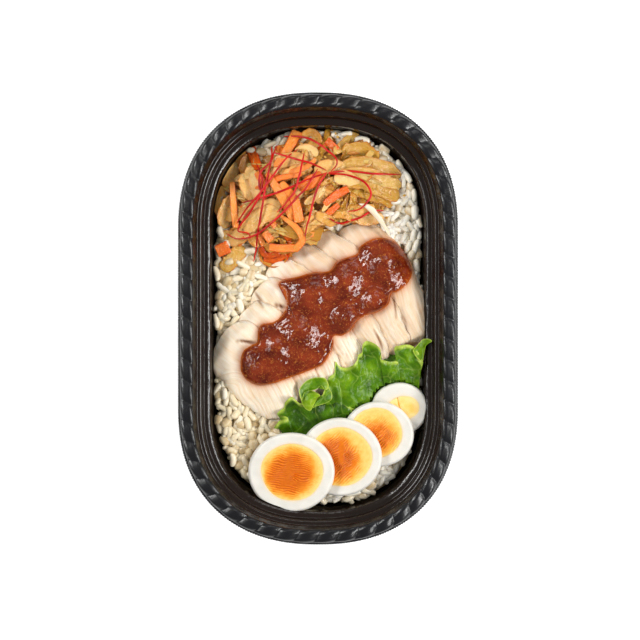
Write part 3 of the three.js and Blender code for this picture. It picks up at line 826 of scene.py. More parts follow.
def blur(values, span):
    # running mean over span cells both ways, edges repeated
    for axis in (0, 1):
        pad = [(span, span) if k == axis else (0, 0) for k in (0, 1)]
        total = np.cumsum(np.pad(values, pad, mode="edge"), axis=axis)
        size = values.shape[axis]
        ahead = np.take(total, np.arange(size) + 2 * span, axis=axis)
        behind = np.take(total, np.arange(size), axis=axis)
        values = (ahead - behind) / (2 * span)
    return values


# cracks in the slices: where each one starts, where it ends, and its depth
chickenCracks = [
    [-41.5, -11.6, -31.5, -12.4, 0.9], [-22.0, 7.2, -17.5, 5.6, 1.1], [29.0, -6.0, 33.0, -17.0, 0.7],
    [37.5, 12.0, 39.5, 0.0, 0.6], [43.0, 6.0, 46.0, -8.0, 0.5], [-33.0, 14.0, -28.0, 6.0, 0.5]]


def makeSlice(i):
    # rows run along the slice, and each row is a loop: across it the half width times the cosine to the
    # power 3/4, and in height half the thickness times the root of 1 minus the ninth power of that share;
    # the upper side also has its fall, fibre ridges, soft bumps and the cracks
    rows, columns = chicken["rows"], chicken["columns"]
    reachUp, reachDown = chicken["reachUp"][i], chicken["reachDown"][i]
    share = np.sin(np.linspace(-0.5, 0.5, rows) * math.pi * 0.985)
    q = np.where(share > 0, share * reachUp, share * reachDown)[:, None]
    angle = np.linspace(0, 2 * math.pi, columns, endpoint=False)[None, :]
    near, far = sliceReach(i, q)
    cosine, sine = np.cos(angle), np.sin(angle)
    v = np.sign(cosine) * np.abs(cosine) ** 0.75 * np.where(cosine > 0, far, near)
    p = slicePlace(i) + v + sliceLean(i, q)
    shifted = q - sliceShear(i, q, v)
    x, y = fromStack(p, shifted)
    top = sine > 0
    share = np.abs(cosine) ** 0.75 * np.sign(cosine) + 0 * q
    upper = sliceTopOffset(i, v, q, near, far)
    lower = -chicken["thickness"] / 2 * (1 - np.abs(share) ** 9) ** 0.5
    lower = lower - (chicken["thickness"] / 2 - 0.1) * smoothStep(np.abs(share), 0.9, 1.0) * (share > 0)
    upper = np.maximum(upper, lower + 0.25)
    ends = np.abs(q) / np.where(q > 0, reachUp, reachDown)
    droop = sliceDroop(ends)
    coarse = smoothStep(-q, -6, 8) * chicken["coarse"][i]
    ridge = np.abs(np.mod(v / chicken["fibre"] + 0.9 * bumps(p, q + 0 * v, 12, i), 1) - 0.5) * 2
    fine = np.abs(np.mod(v / chicken["fineFibre"] + 0.8 * bumps(p, q + 0 * v, 6, i + 2), 1) - 0.5) * 2
    relief = -(0.05 + 0.3 * coarse) * ridge ** 3 - (0.02 + 0.1 * coarse) * fine ** 2
    relief = relief + 0.4 * bumps(x, y, 8.5, i) + 0.22 * bumps(x, y, 3.6, i + 1)
    cut, dark = 0 * v, 0 * v
    for ax, ay, bx, by, depth in chickenCracks:
        run = np.array([bx - ax, by - ay])
        along = ((x - ax) * run[0] + (y - ay) * run[1]) / (run @ run)
        along = np.clip(along, 0, 1)
        gap = np.hypot(x - ax - along * run[0], y - ay - along * run[1])
        swell = depth * np.sin(math.pi * (0.1 + 0.8 * along))
        cut = cut - swell * np.exp(-(gap / chicken["crackWidth"]) ** 2)
        # the darkening along each crack is painted shade in the gap
        dark = dark + swell * np.exp(-(gap / chicken["crackShadeWidth"]) ** 2)
    z = sliceHeight(i, p, shifted) + droop + np.where(top, upper + relief + cut, lower)
    x, y = x + 0.9 * bumps(x, y, 8, i + 20), y + 0.9 * bumps(x, y, 8, i + 40)
    # painted shade where each slice steps down onto the next, at its ends, in the fibre grooves and in the
    # cracks; the last three slices are darker all over
    seamShadeAndTone = 0.35 * np.maximum(smoothStep(share, 0.9, 1.0), 0.4 * smoothStep(ends, 0.95, 1.0))
    seamShadeAndTone = np.maximum(seamShadeAndTone, coarse * smoothStep(ridge, 0.7, 1.0) * 0.4 + np.clip(-cut * 1.4, 0, 1))
    seamShadeAndTone = np.maximum(seamShadeAndTone, 0.3 * (i > 3))
    stain = np.exp(-np.maximum(distanceToSauce(x, y) - 0.3, 0) / 1.6)
    grid = keepInTray(np.stack([x, y, z], axis=-1))
    marks = {
        "fibre": z * 0 + i * 3.1,
        "across": v * (1 - 0.6 * smoothStep(q, 0, 15)),
        "lengthwise": (q + 0 * v) * 0.05,
        "stain": stain * 0.7,
        "seamShadeAndTone": seamShadeAndTone,
        "crack": np.clip(dark, 0, 1)}
    piece = skin("chicken_cut_%d" % (i + 1), grid, chickenFinish, marks)
    return settle(piece, "chicken", sliceNodes[i])


slicePieces = [makeSlice(i) for i in range(7)]
print("chicken made")


# sauce: a thick pool over the slices, domed and lumpy, with rounded edges

def makeSauce():
    # top: the chicken's surface, blurred away from the rim, plus a quarter circle at the rim times a film,
    # the swells and the grain; each swell is a Gaussian, and together they are the fourth root of the sum
    # of their fourth powers
    rows, across = sauce["rows"], sauce["across"]
    s = (0.5 - 0.5 * np.cos(np.linspace(0.02, 0.98, rows) * math.pi))[:, None]
    t = np.sin(np.linspace(-0.5, 0.5, across) * math.pi)[None, :]
    x, y = sauceRibbon(s + 0 * t, t + 0 * s)
    meat = chickenTop(x, y)
    inward = np.clip(distanceToSauce(x, y) / sauce["edgeRadius"], 0, 1)
    crown = np.sqrt(1 - (1 - inward) ** 2)
    swell = 0 * x
    for cx, cy, radius, height in sauce["lumps"]:
        swell = swell + (height * np.exp(-np.hypot(x - cx, y - cy) ** 2 / (0.88 * radius) ** 2)) ** 4
    swell = swell ** 0.25
    rough = 0.6 + 0.4 * smoothStep(bumps(x, y, 9, 5), -0.2, 0.5)
    rough = rough * (0.3 + 0.7 * smoothStep(x, -34, -14))
    broad = (0.1 + 0.15 * smoothStep(x, -34, -14)) * bumps(x, y, 6.5, 6)
    grain = broad + rough * (0.24 * bumps(x, y, 2.6, 7) + 0.23 * bumps(x, y, 1.2, 9))
    blend = smoothStep(crown, 0.2, 1.0)
    under = meat * (1 - blend) + blur(blur(meat, 14), 10) * blend
    top = under + crown * (sauce["film"] + sauce["swell"] * swell + grain * (0.3 + 0.7 * blend)) + 0.1
    top = np.maximum(top, meat + 0.25 * crown)
    foot = np.minimum(meat, under) - sauce["depth"]
    loopX = np.concatenate([x, x[:, ::-1]], axis=1)
    loopY = np.concatenate([y, y[:, ::-1]], axis=1)
    loopZ = np.concatenate([top, foot[:, ::-1]], axis=1)
    thin = smoothStep(1 - inward, 0.55, 1.0) * 0.8
    marks = {"thin": np.concatenate([thin, thin[:, ::-1]], axis=1)}
    piece = skin("sauce_pool", np.stack([loopX, loopY, loopZ], axis=-1), sauceFinish, marks)
    return settle(piece, "sauce", "sauce")


saucePiece = makeSauce()
print("sauce made")


# egg slices: a ring of white with a plug of yolk through it, each leaning on the next

egg = {
    "thickness": 4.5,
    "tilt": 0.17,
    "columns": 150,
    "nudge": [[-0.3, -1.1], [-0.8, -0.2], [-1.1, 0.8], [0.5, 0.7]],
    "grow": [1.03, 1.06, 1.05, 1.05],
    "yolkTurn": [0.15, -0.75, -0.85, 1.3],
    "coreSpan": [[0.48, 1.0], [0.4, 1.0], [0.25, 0.95], [0.0, 0.5]],
    "coreDeep": [0.64, 0.6, 0.46, 0.6],
    "coreShift": [[-0.09, -0.06], [-0.16, -0.1], [0.12, -0.14], [0.0, 0.0]],
    "ripple": 1.1,
}


def makeEgg(i):
    # white: outline (a cos, b sin) with a rounded edge and a hole; yolk: rings from its middle to its edge,
    # with a rippled core, or for the last one a crack
    whiteLow, whiteHigh = boxOf("egg_white_%d" % (i + 1))
    yolkLow, yolkHigh = boxOf("egg_yolk_%d" % (i + 1))
    centre = (whiteLow + whiteHigh) / 2 + np.array([*egg["nudge"][i], 0])
    half = (whiteHigh - whiteLow) / 2 * egg["grow"][i]
    yolkCentre = (yolkLow + yolkHigh) / 2 + np.array([*egg["nudge"][i], 0]) - centre
    yolkHalf = (yolkHigh - yolkLow) / 2 * egg["grow"][i]
    count = egg["columns"]
    angle = np.linspace(0, 2 * math.pi, count, endpoint=False)[None, :]
    uneven = 1 + 0.006 * np.sin(2 * angle + i) + 0.005 * np.sin(3 * angle + 2 * i)
    wander = 1 + 0.012 * np.sin(3 * angle + 1.7 * i) + 0.008 * np.sin(5 * angle + i)
    slope = math.tan(egg["tilt"])
    thick = egg["thickness"] / 2

    def lay(dx, dy, level):
        rise = slope * (dx * fanX + dy * fanY)
        height = centre[2] + rise + level + 0 * dx
        return keepInTray(np.stack([centre[0] + dx, centre[1] + dy, height], axis=-1))

    turn = np.linspace(0, math.pi, 13)[:, None]
    insetRow = 1.5 * (1 - np.sin(turn))
    outerX = (half[0] - insetRow) * np.cos(angle) * uneven
    outerY = (half[1] - insetRow) * np.sin(angle) * uneven
    side = lay(outerX, outerY, -thick * np.cos(turn))
    share = np.linspace(0, 1, 12)[1:-1][:, None]
    holeX = yolkCentre[0] + (yolkHalf[0] - 0.25) * np.cos(angle) * wander
    holeY = yolkCentre[1] + (yolkHalf[1] - 0.25) * np.sin(angle) * wander
    faceX = outerX[-1] * (1 - share) + holeX * share
    faceY = outerY[-1] * (1 - share) + holeY * share
    dish = 0.12 * bumps(faceX + centre[0], faceY + centre[1], 5, i) - 0.1 * np.sin(math.pi * share)
    upper = lay(faceX, faceY, thick + dish)
    warm = np.concatenate([0 * side[..., 0], np.exp(-(1 - share) * 9) + 0 * faceX, np.ones((3, count)),
                           0 * faceX])
    hole = lay(holeX + 0 * np.ones((3, 1)), holeY + 0 * np.ones((3, 1)), np.array([[thick], [0], [-thick]]))
    lower = lay(faceX[::-1], faceY[::-1], -thick)
    white = skin("egg_white_ring_%d" % (i + 1), np.concatenate([side, upper, hole, lower]), eggWhiteFinish,
                 {"warm": warm}, ring=True)
    settle(white, "egg_white", "egg_white_%d" % (i + 1))

    radius = np.linspace(0.015, 1, 64)[:, None]
    dx = yolkCentre[0] + yolkHalf[0] * radius * np.cos(angle) * (1 + (wander - 1) * radius)
    dy = yolkCentre[1] + yolkHalf[1] * radius * np.sin(angle) * (1 + (wander - 1) * radius)
    across = dx * math.sin(egg["yolkTurn"][i]) + dy * math.cos(egg["yolkTurn"][i])
    warp = bumps(dx + 40 * i, dy, 6.0, 3) * 0.9 + bumps(dx + 40 * i, dy, 2.4, 1) * 0.35
    ridge = np.sin(2 * math.pi * (across / egg["ripple"] + warp))
    coreX, coreY = (np.stack([dx, dy]) - yolkCentre[:2, None, None]) / yolkHalf[:2, None, None]
    soft = np.hypot(coreX - egg["coreShift"][i][0], coreY - egg["coreShift"][i][1])
    soft = soft + 0.07 * bumps(dx + 9 * i, dy, 5, 7) + 0.05 * bumps(dx, dy, 2, 2)
    inCore = 1 - smoothStep(soft, *egg["coreSpan"][i])
    ridge = ridge * smoothStep(bumps(dx + 11 * i, dy, 3.2, 12), -0.9, 0.2)
    height = 0.34 * ridge * (0.2 + 0.8 * inCore) * (radius < 0.97) - 0.18 * inCore
    height = height + 0.06 * bumps(dx, dy, 3, 4)
    depth = 0.2 + egg["coreDeep"][i] * inCore - 0.1 * smoothStep(radius, 0.86, 0.97)
    depth = depth + 0.27 * ridge * inCore + 0.05 * bumps(dx, dy, 0.9, 6)
    if i == 3:
        crack = np.exp(-((dx - yolkCentre[0] + 2.2 + 0.25 * dy) / 0.35) ** 2)
        height = 0.1 * bumps(dx, dy, 2.4, 4) - 0.7 * crack
        depth = 0.16 - 0.14 * smoothStep(soft, 0.5, 0.95) + 0.16 * crack + 0.1 * bumps(dx, dy, 2.4, 5)
    upper = lay(dx, dy, thick + height + 0.02 - 0.12 * smoothStep(radius, 0.985, 1.0))
    lower = lay(dx[[-1, 30, 0]], dy[[-1, 30, 0]], -thick)
    depth = np.concatenate([depth, depth[[-1, 30, 0]]])
    yolk = skin("egg_yolk_disc_%d" % (i + 1), np.concatenate([upper, lower]), eggYolkFinish, {"depth": depth})
    settle(yolk, "egg_yolk", "egg_yolk_%d" % (i + 1))
    return white, yolk


eggPieces = [makeEgg(i) for i in range(4)]
print("eggs made")


# lettuce: a frilled leaf over a darker fold, with curled lobes along its edge

leaf = {
    "upper": [[1.1, -42.0], [2.8, -37.5], [4.5, -32.4], [5.4, -29.9], [8.2, -27.6], [8.9, -22.0],
              [10.7, -24.2], [14.1, -25.1], [17.5, -23.9], [19.8, -21.2], [20.5, -18.4], [22.3, -17.2],
              [22.6, -13.5], [24.6, -11.5], [28.3, -12.6], [31.1, -14.9], [32.0, -17.7], [31.4, -20.3],
              [33.9, -21.4], [37.3, -22.0], [40.7, -21.2], [40.1, -18.6], [38.9, -16.3], [39.3, -14.3],
              [41.8, -13.8], [44.7, -13.3], [47.5, -13.8], [49.8, -15.5], [52.0, -18.9], [53.4, -22.3]],
    "lower": [[6.2, -45.4], [14.1, -53.1], [23.2, -55.5], [31.1, -51.7], [39.6, -46.0], [48.1, -41.7],
              [52.0, -36.1]],
    "along": 420,
    "across": 110,
}
leafFold = {
    "upper": [[-22.6, -55.9], [-21.2, -53.9], [-19.2, -51.8], [-15.3, -51.1], [-17.0, -49.7],
              [-20.6, -49.1], [-20.4, -47.7], [-17.5, -45.4], [-16.7, -42.6], [-13.6, -39.8],
              [-11.3, -41.5], [-9.0, -43.2], [-2.8, -42.4], [4.0, -41.2], [10.7, -41.0], [15.3, -44.4],
              [19.8, -47.1]],
    "lower": [[-19.8, -57.0], [-16.4, -60.0], [-7.4, -62.1], [2.8, -60.7], [13.6, -58.5], [22.1, -53.1]],
    "along": 260,
    "across": 90,
}
leafLobes = {
    "tip": [[[48.1, -16.3], [49.8, -14.3], [51.5, -12.4], [53.2, -10.7], [56.0, -10.3], [58.0, -11.5],
             [55.4, -13.2], [54.4, -15.5], [53.8, -18.9], [53.0, -22.1], [50.9, -20.7], [49.2, -18.6]],
            26.2, 1.4, 0.55],
    "back": [[[-8.5, -42.0], [-9.7, -37.5], [-9.0, -35.0], [-6.2, -31.9], [-2.8, -30.3], [1.1, -29.9],
              [4.0, -30.7], [5.4, -34.1], [4.0, -36.4], [1.7, -34.0], [-0.6, -35.8], [-4.0, -36.7],
              [-6.8, -37.5], [-7.8, -39.8]],
             27.4, 1.6, 0.35],
    "front": [[[-7.8, -38.9], [-6.5, -37.1], [-3.7, -36.5], [-1.1, -37.5], [1.1, -39.2], [-0.6, -41.0],
               [-2.3, -44.3], [-4.0, -47.0], [-6.8, -45.6], [-8.5, -42.0]], 28.9, -2.6, 0.7],
    "side": [[[0.2, -40.6], [1.7, -39.2], [3.9, -37.3], [4.4, -34.4], [5.6, -35.3], [7.0, -38.0],
              [7.0, -41.0], [4.4, -43.0], [-0.6, -44.6], [-2.6, -45.6], [-1.8, -43.0]], 27.2, -1.2, 0.2],
    "valley": [[[30.5, -15.5], [34.0, -12.5], [38.0, -12.0], [41.0, -13.5], [41.5, -19.0],
                [38.0, -23.0], [33.5, -23.5], [31.0, -20.0]], 22.3, 0.8, -0.1],
    "tornTip": [[[-22.6, -44.6], [-21.4, -42.4], [-18.4, -43.6], [-16.6, -45.4], [-17.6, -48.6],
                 [-19.6, -49.2], [-21.4, -47.4]], 22.6, -0.8, -1.6],
    "tornEnd": [[[44.6, -12.6], [48.4, -12.0], [51.0, -12.4], [49.8, -14.6], [47.0, -15.0]], 24.9, 0.4, -1.5],
}


def leafRelief(x, y):
    # soft blisters between a loose net of veins, from the cell edges at two sizes
    bentX = x + 2.2 * bumps(x, y, 6, 3) + 0.7 * bumps(x, y, 2.4, 8)
    bentY = y + 2.2 * bumps(x, y, 6, 4) + 0.7 * bumps(x, y, 2.4, 1)
    far = cells(bentX, bentY, 9.0, 2)[1]
    near = cells(bentX, bentY, 3.6, 5)[1]
    vein = (1 - smoothStep(far, 0.0, 0.09)) * np.clip(0.4 + 0.8 * bumps(x, y, 8, 2), 0, 1)
    relief = 0.5 * smoothStep(far, 0.0, 0.7) + 0.2 * smoothStep(near, 0.0, 0.7) + 0.5 * bumps(x, y, 5.0, 6)
    return relief + 0.2 * bumps(x, y, 2.2, 3), vein


def sheet(name, x, y, z, rim, vein, pale, thickness=0.34):
    # a closed skin: the surface moved up and down by the thickness, its columns running out and back
    sides = ((x, x), (y, y), (z + thickness, z - thickness))
    loop = [np.concatenate([above, below[:, ::-1]], axis=1) for above, below in sides]
    marks = {"rim": rim, "vein": vein * (1 - rim), "pale": pale, "brown": 0 * x}
    marks = {key: np.concatenate([value, value[:, ::-1]], axis=1) for key, value in marks.items()}
    piece = skin(name, np.stack(loop, axis=-1), lettuceFinish, marks)
    return settle(piece, "lettuce", "lettuce_leaf")


def makeLeaf(name, shape, base, climb, pale):
    # sheet from a tucked lower edge to a frilled upper edge, joined straight across; the frill dies away
    # from the upper edge as exp(-distance / 3 mm)
    upper = splineThrough(shape["upper"], shape["along"])
    lower = splineThrough(shape["lower"], 400)
    run = lower[-1] - lower[0]
    upperShare = np.maximum.accumulate((upper - lower[0]) @ run / (run @ run))
    upperShare = (upperShare - upperShare[0]) / (upperShare[-1] - upperShare[0])
    upperShare = 0.9 * upperShare + 0.1 * np.linspace(0, 1, len(upper))
    foot = np.stack([np.interp(upperShare, np.linspace(0, 1, 400), lower[:, k]) for k in (0, 1)], axis=1)
    t = np.sin(np.linspace(0, 0.5, shape["across"]) * math.pi)[None, :]
    x = foot[:, :1] * (1 - t) + upper[:, :1] * t
    y = foot[:, 1:] * (1 - t) + upper[:, 1:] * t
    t = t + 0 * x
    s = np.linspace(0, 1, shape["along"])[:, None] + 0 * x
    x = x - 2.4 * np.abs(bumps(y, 0 * y + 5.0, 4.2, 7)) * smoothStep(s, 0.86, 1.0) * smoothStep(1 - t, 0, 0.1)
    toEdge = (1 - t) * np.hypot(upper[:, :1] - foot[:, :1], upper[:, 1:] - foot[:, 1:])
    meat = chickenTop(x, y)
    rest = np.maximum(base + climb * smoothStep(t, 0.1, 0.8), meat + 0.7)
    rest = blur(rest, 5)
    relief, vein = leafRelief(x, y)
    frill = np.exp(-toEdge / 3.0)
    wave = bumps(x, y, 5.5, 9) + 0.5 * bumps(x, y, 2.6, 2)
    z = rest + 0.8 * relief + frill * (0.6 + 2.4 * wave) + 0.7 * bumps(x, y, 9, 6) * smoothStep(t, 0.1, 0.4)
    z = np.maximum(z, np.where(meat > 18, meat + 0.2, z))
    z = np.minimum(z, lowestAt(eggFloor, x, y) - 0.9)
    rim = 1 - smoothStep(toEdge, 0.6, 2.6)
    rim = np.clip(rim * (0.7 + 0.6 * bumps(x, y, 4, 4)), 0, 1)
    # pale follows the relief: darker in the pits, painted shade
    return sheet(name, x, y, z, rim, vein * 0.4, pale + 0.3 * (relief - 0.35))


def makeLobe(name, outline, base, dish, pale):
    # rings from the middle to a closed outline, dished as r^2 with a rippled rim
    points = np.array(outline, float)
    edge = splineThrough(np.vstack([points, points[:1]]), 121)[:-1]
    r = np.linspace(0.03, 1, 30)[:, None]
    middle = edge.mean(axis=0)
    x = middle[0] + r * (edge[None, :, 0] - middle[0])
    y = middle[1] + r * (edge[None, :, 1] - middle[1])
    relief, vein = leafRelief(x, y)
    z = base + dish * r ** 2 + 0.35 * relief + 0.5 * r ** 2 * bumps(x, y, 3.4, 7)
    rim = smoothStep(r, 0.86, 1.0) + 0 * x
    upper = np.stack([x, y, z + 0.3], axis=-1)
    lower = np.stack([x, y, z - 0.3], axis=-1)[::-1]
    # pale follows the relief: darker in the pits, painted shade
    marks = {"rim": np.concatenate([rim, rim[::-1]]), "vein": np.concatenate([vein, vein[::-1]]) * 0.4,
             "pale": pale + 0.3 * (np.concatenate([relief, relief[::-1]]) - 0.8),
             "brown": np.concatenate([0 * x, 0 * x]) + 0.9 * name.startswith("torn")}
    piece = skin("lettuce_" + name, np.concatenate([upper, lower]), lettuceFinish, marks)
    return settle(piece, "lettuce", "lettuce_leaf")


eggFloor = lowestOver([pair[0] for pair in eggPieces])
leafPieces = [
    makeLeaf("lettuce_frill", leaf, 20.3, 5.5, 0.0), makeLeaf("lettuce_fold", leafFold, 19.4, 3.0, -0.5)]
leafPieces += [makeLobe(name, *lobe) for name, lobe in leafLobes.items()]
print("lettuce made")


# chicken shred: one torn thread of meat lying over the rice

def strap(path, width, thick, cup=0.0, roll=0.0, blunt=4.0, rows=26, columns=16, rough=0.0, seed=0,
          corner=0.75):
    # a flattened tube along a path: section (w/2 cos, t/2 sin) with both to the power of corner, its sides
    # lifted by cup, its ends closing as (1 - |2s - 1|^blunt)^(1/2), leaning over by the roll
    spine = splineThrough(path, rows)
    run = np.gradient(spine, axis=0)
    run = run / np.linalg.norm(run, axis=1, keepdims=True)
    side = np.stack([-run[:, 1], run[:, 0], 0 * run[:, 0]], axis=1)
    side = side / np.linalg.norm(side, axis=1, keepdims=True)
    up = np.cross(run, side)
    s = np.linspace(0, 1, rows)
    roll = np.interp(s, np.linspace(0, 1, np.size(roll)), np.atleast_1d(roll))[:, None]
    side, up = side * np.cos(roll) + up * np.sin(roll), up * np.cos(roll) - side * np.sin(roll)
    close = np.sqrt(np.clip(1 - np.abs(2 * s - 1) ** blunt, 0.004, 1))
    wide = np.interp(s, np.linspace(0, 1, np.size(width)), np.atleast_1d(width)) * close / 2
    angle = np.linspace(0, 2 * math.pi, columns, endpoint=False)
    cosine = np.sign(np.cos(angle)) * np.abs(np.cos(angle)) ** corner
    sine = np.sign(np.sin(angle)) * np.abs(np.sin(angle)) ** corner
    ragged = 1 + rough * bumps(s[:, None] * 12 + seed, np.sign(cosine)[None, :] * 3.3, 1.0, seed % 17)
    flat = wide[:, None] * cosine[None, :] * ragged
    high = thick / 2 * np.minimum(close * 1.6, 1)[:, None] * sine[None, :] + cup * (flat / np.max(wide)) ** 2
    return spine[:, None, :] + side[:, None, :] * flat[..., None] + up[:, None, :] * high[..., None]


def joinStraps(name, straps, tones, material):
    # many closed straps as one mesh, each with its own tone, its own places along and across for the
    # fibres, and an edge mark that rises as the eighth power of the share across
    points, faces = [], []
    marks = {"tone": [], "along": [], "across": [], "edge": []}
    start = 0
    for grid, value in zip(straps, tones):
        rows, columns = grid.shape[:2]
        count = rows * columns
        ends = np.stack([grid[0].mean(axis=0), grid[-1].mean(axis=0)])
        points += [grid.reshape(-1, 3), ends]
        faces += (gridFaces(rows, columns) + start).tolist()
        ring = np.arange(columns)
        after = (ring + 1) % columns
        faces += (np.stack([after, ring, 0 * ring + count], axis=1) + start).tolist()
        faces += (np.stack([ring, after, 0 * ring + columns + 1], axis=1) + start + count - columns).tolist()
        middle = grid.mean(axis=1)
        run = np.concatenate([[0], np.cumsum(np.linalg.norm(np.diff(middle, axis=0), axis=1))])
        side = grid[:, :1] - middle[:, None]
        side = side / np.linalg.norm(side, axis=2, keepdims=True).clip(0.01)
        across = ((grid - middle[:, None]) * side).sum(axis=2)
        marks["tone"].append(np.full(count + 2, 0.05 + 0.6 * value))
        marks["along"].append(np.concatenate([np.repeat(run, columns), [0, run[-1]]]))
        marks["across"].append(np.concatenate([across.ravel(), [0, 0]]))
        # the edge mark drives the painted shade at each strip's edges
        rimward = (np.abs(across) / np.abs(across).max(axis=1, keepdims=True).clip(0.01)) ** 8
        marks["edge"].append(np.concatenate([rimward.ravel(), [1, 1]]))
        start += count + 2
    marks = {key: np.concatenate(value) for key, value in marks.items()}
    return fillMesh(name, keepInTray(np.vstack(points)), faces, material, marks)


shredPath = [
    [20.7, 58.3, 29.4], [26.0, 56.2, 29.0], [30.5, 51.5, 27.8], [34.0, 46.5, 27.0], [37.0, 41.0, 26.2]]
shredGrid = strap(shredPath, [1.2, 3.2, 2.9, 1.9, 1.4], 1.5, roll=0.3, rows=60, rough=0.12)
shredPlain = np.zeros(shredGrid.shape[:2])
shred = skin("chicken_thread", shredGrid, chickenFinish, {
    "fibre": shredPlain,
    "across": shredPlain + np.arange(16) * 0.4,
    "lengthwise": shredPlain + np.linspace(0, 2, 60)[:, None],
    "stain": shredPlain,
    "seamShadeAndTone": shredPlain})
settle(shred, "chicken", "chicken_shred")
print("shred made")


# heap: shaved burdock and carrot strips over a low core

heapLow, heapHigh = boxOf("burdock_carrot_heap")
heap = {
    "centre": (heapLow + heapHigh) / 2,
    "half": np.array([45.5, 32.5]),
    "turn": 0.22,
    "foot": 16.0,
    "crown": 12.0,
    "sunk": 9.0,
    "coreShare": 0.93,
    "coreDepth": 2.2,
}

# the heap's edge along the chicken, from -X to +X
heapBorder = np.array([
    [-60, 10], [-24, 23], [-14.4, 28.5], [-5.6, 37], [2, 46], [11.3, 47], [26.7, 48.5], [60, 48]])


def aboveBorder(x, y):
    # how far a point lies past the border, on the heap's side
    return y - np.interp(x, heapBorder[:, 0], heapBorder[:, 1])


def heapTop(x, y):
    # dome: foot + crown (1 - r^2.4)^0.8, r the radius in a turned ellipse, with bumps, and sunk on the
    # chicken's side of the border
    dx = x - heap["centre"][0]
    dy = y - heap["centre"][1]
    along = dx * math.cos(heap["turn"]) + dy * math.sin(heap["turn"])
    aside = dy * math.cos(heap["turn"]) - dx * math.sin(heap["turn"])
    r = np.hypot(along / heap["half"][0], aside / heap["half"][1])
    dome = np.clip(1 - r ** 2.4, 0, 1) ** 0.8
    sunk = heap["sunk"] * (1 - smoothStep(aboveBorder(x, y), -1.0, 3.5))
    return heap["foot"] + heap["crown"] * dome + 1.1 * bumps(x, y, 11, 3) * np.sqrt(dome) - sunk


def makeHeapCore():
    # rings from the middle outwards, under the heap's top with small bumps, then down to its foot
    rows, columns = 46, 150
    r = np.linspace(0.02, 1, rows)[:, None]
    angle = np.linspace(0, 2 * math.pi, columns, endpoint=False)[None, :]
    along = heap["half"][0] * heap["coreShare"] * r * np.cos(angle)
    aside = heap["half"][1] * heap["coreShare"] * r * np.sin(angle)
    x = heap["centre"][0] + along * math.cos(heap["turn"]) - aside * math.sin(heap["turn"])
    y = heap["centre"][1] + along * math.sin(heap["turn"]) + aside * math.cos(heap["turn"])
    z = heapTop(x, y) - heap["coreDepth"] + 0.8 * bumps(x, y, 3.2, 6) + 0.4 * bumps(x, y, 1.5, 8)
    floorZ = np.full_like(z[:1], heap["foot"] - 1.0)
    grid = np.concatenate([np.stack([x, y, z], axis=-1), np.stack([x[-1:], y[-1:], floorZ], axis=-1)])
    piece = skin("heap_core", grid, heapShadowFinish, {
        "tone": np.concatenate([0.2 + 0.2 * bumps(x, y, 4), 0 * x[:1]]),
        "along": grid[..., 0],
        "across": grid[..., 1],
        "edge": 0 * grid[..., 0]})
    return settle(piece, "braised_vegetables", "burdock_carrot_heap")


def layOn(flatPath, lift, arch=0.0):
    # a path over the heap from its plan points: a parabola fitted to the heap's top along it, raised by
    # lift, and by arch in its middle
    count = 14
    if len(flatPath) > 2:
        spine = splineThrough(flatPath, count)
    else:
        spine = np.linspace(*np.array(flatPath, float), count)
    s = np.linspace(-1, 1, count)
    flat = np.polyfit(s, heapTop(spine[:, 0], spine[:, 1]), 2)
    z = np.polyval(flat, s) + lift + arch * (1 - s ** 2)
    return np.column_stack([spine[:, :2], z])


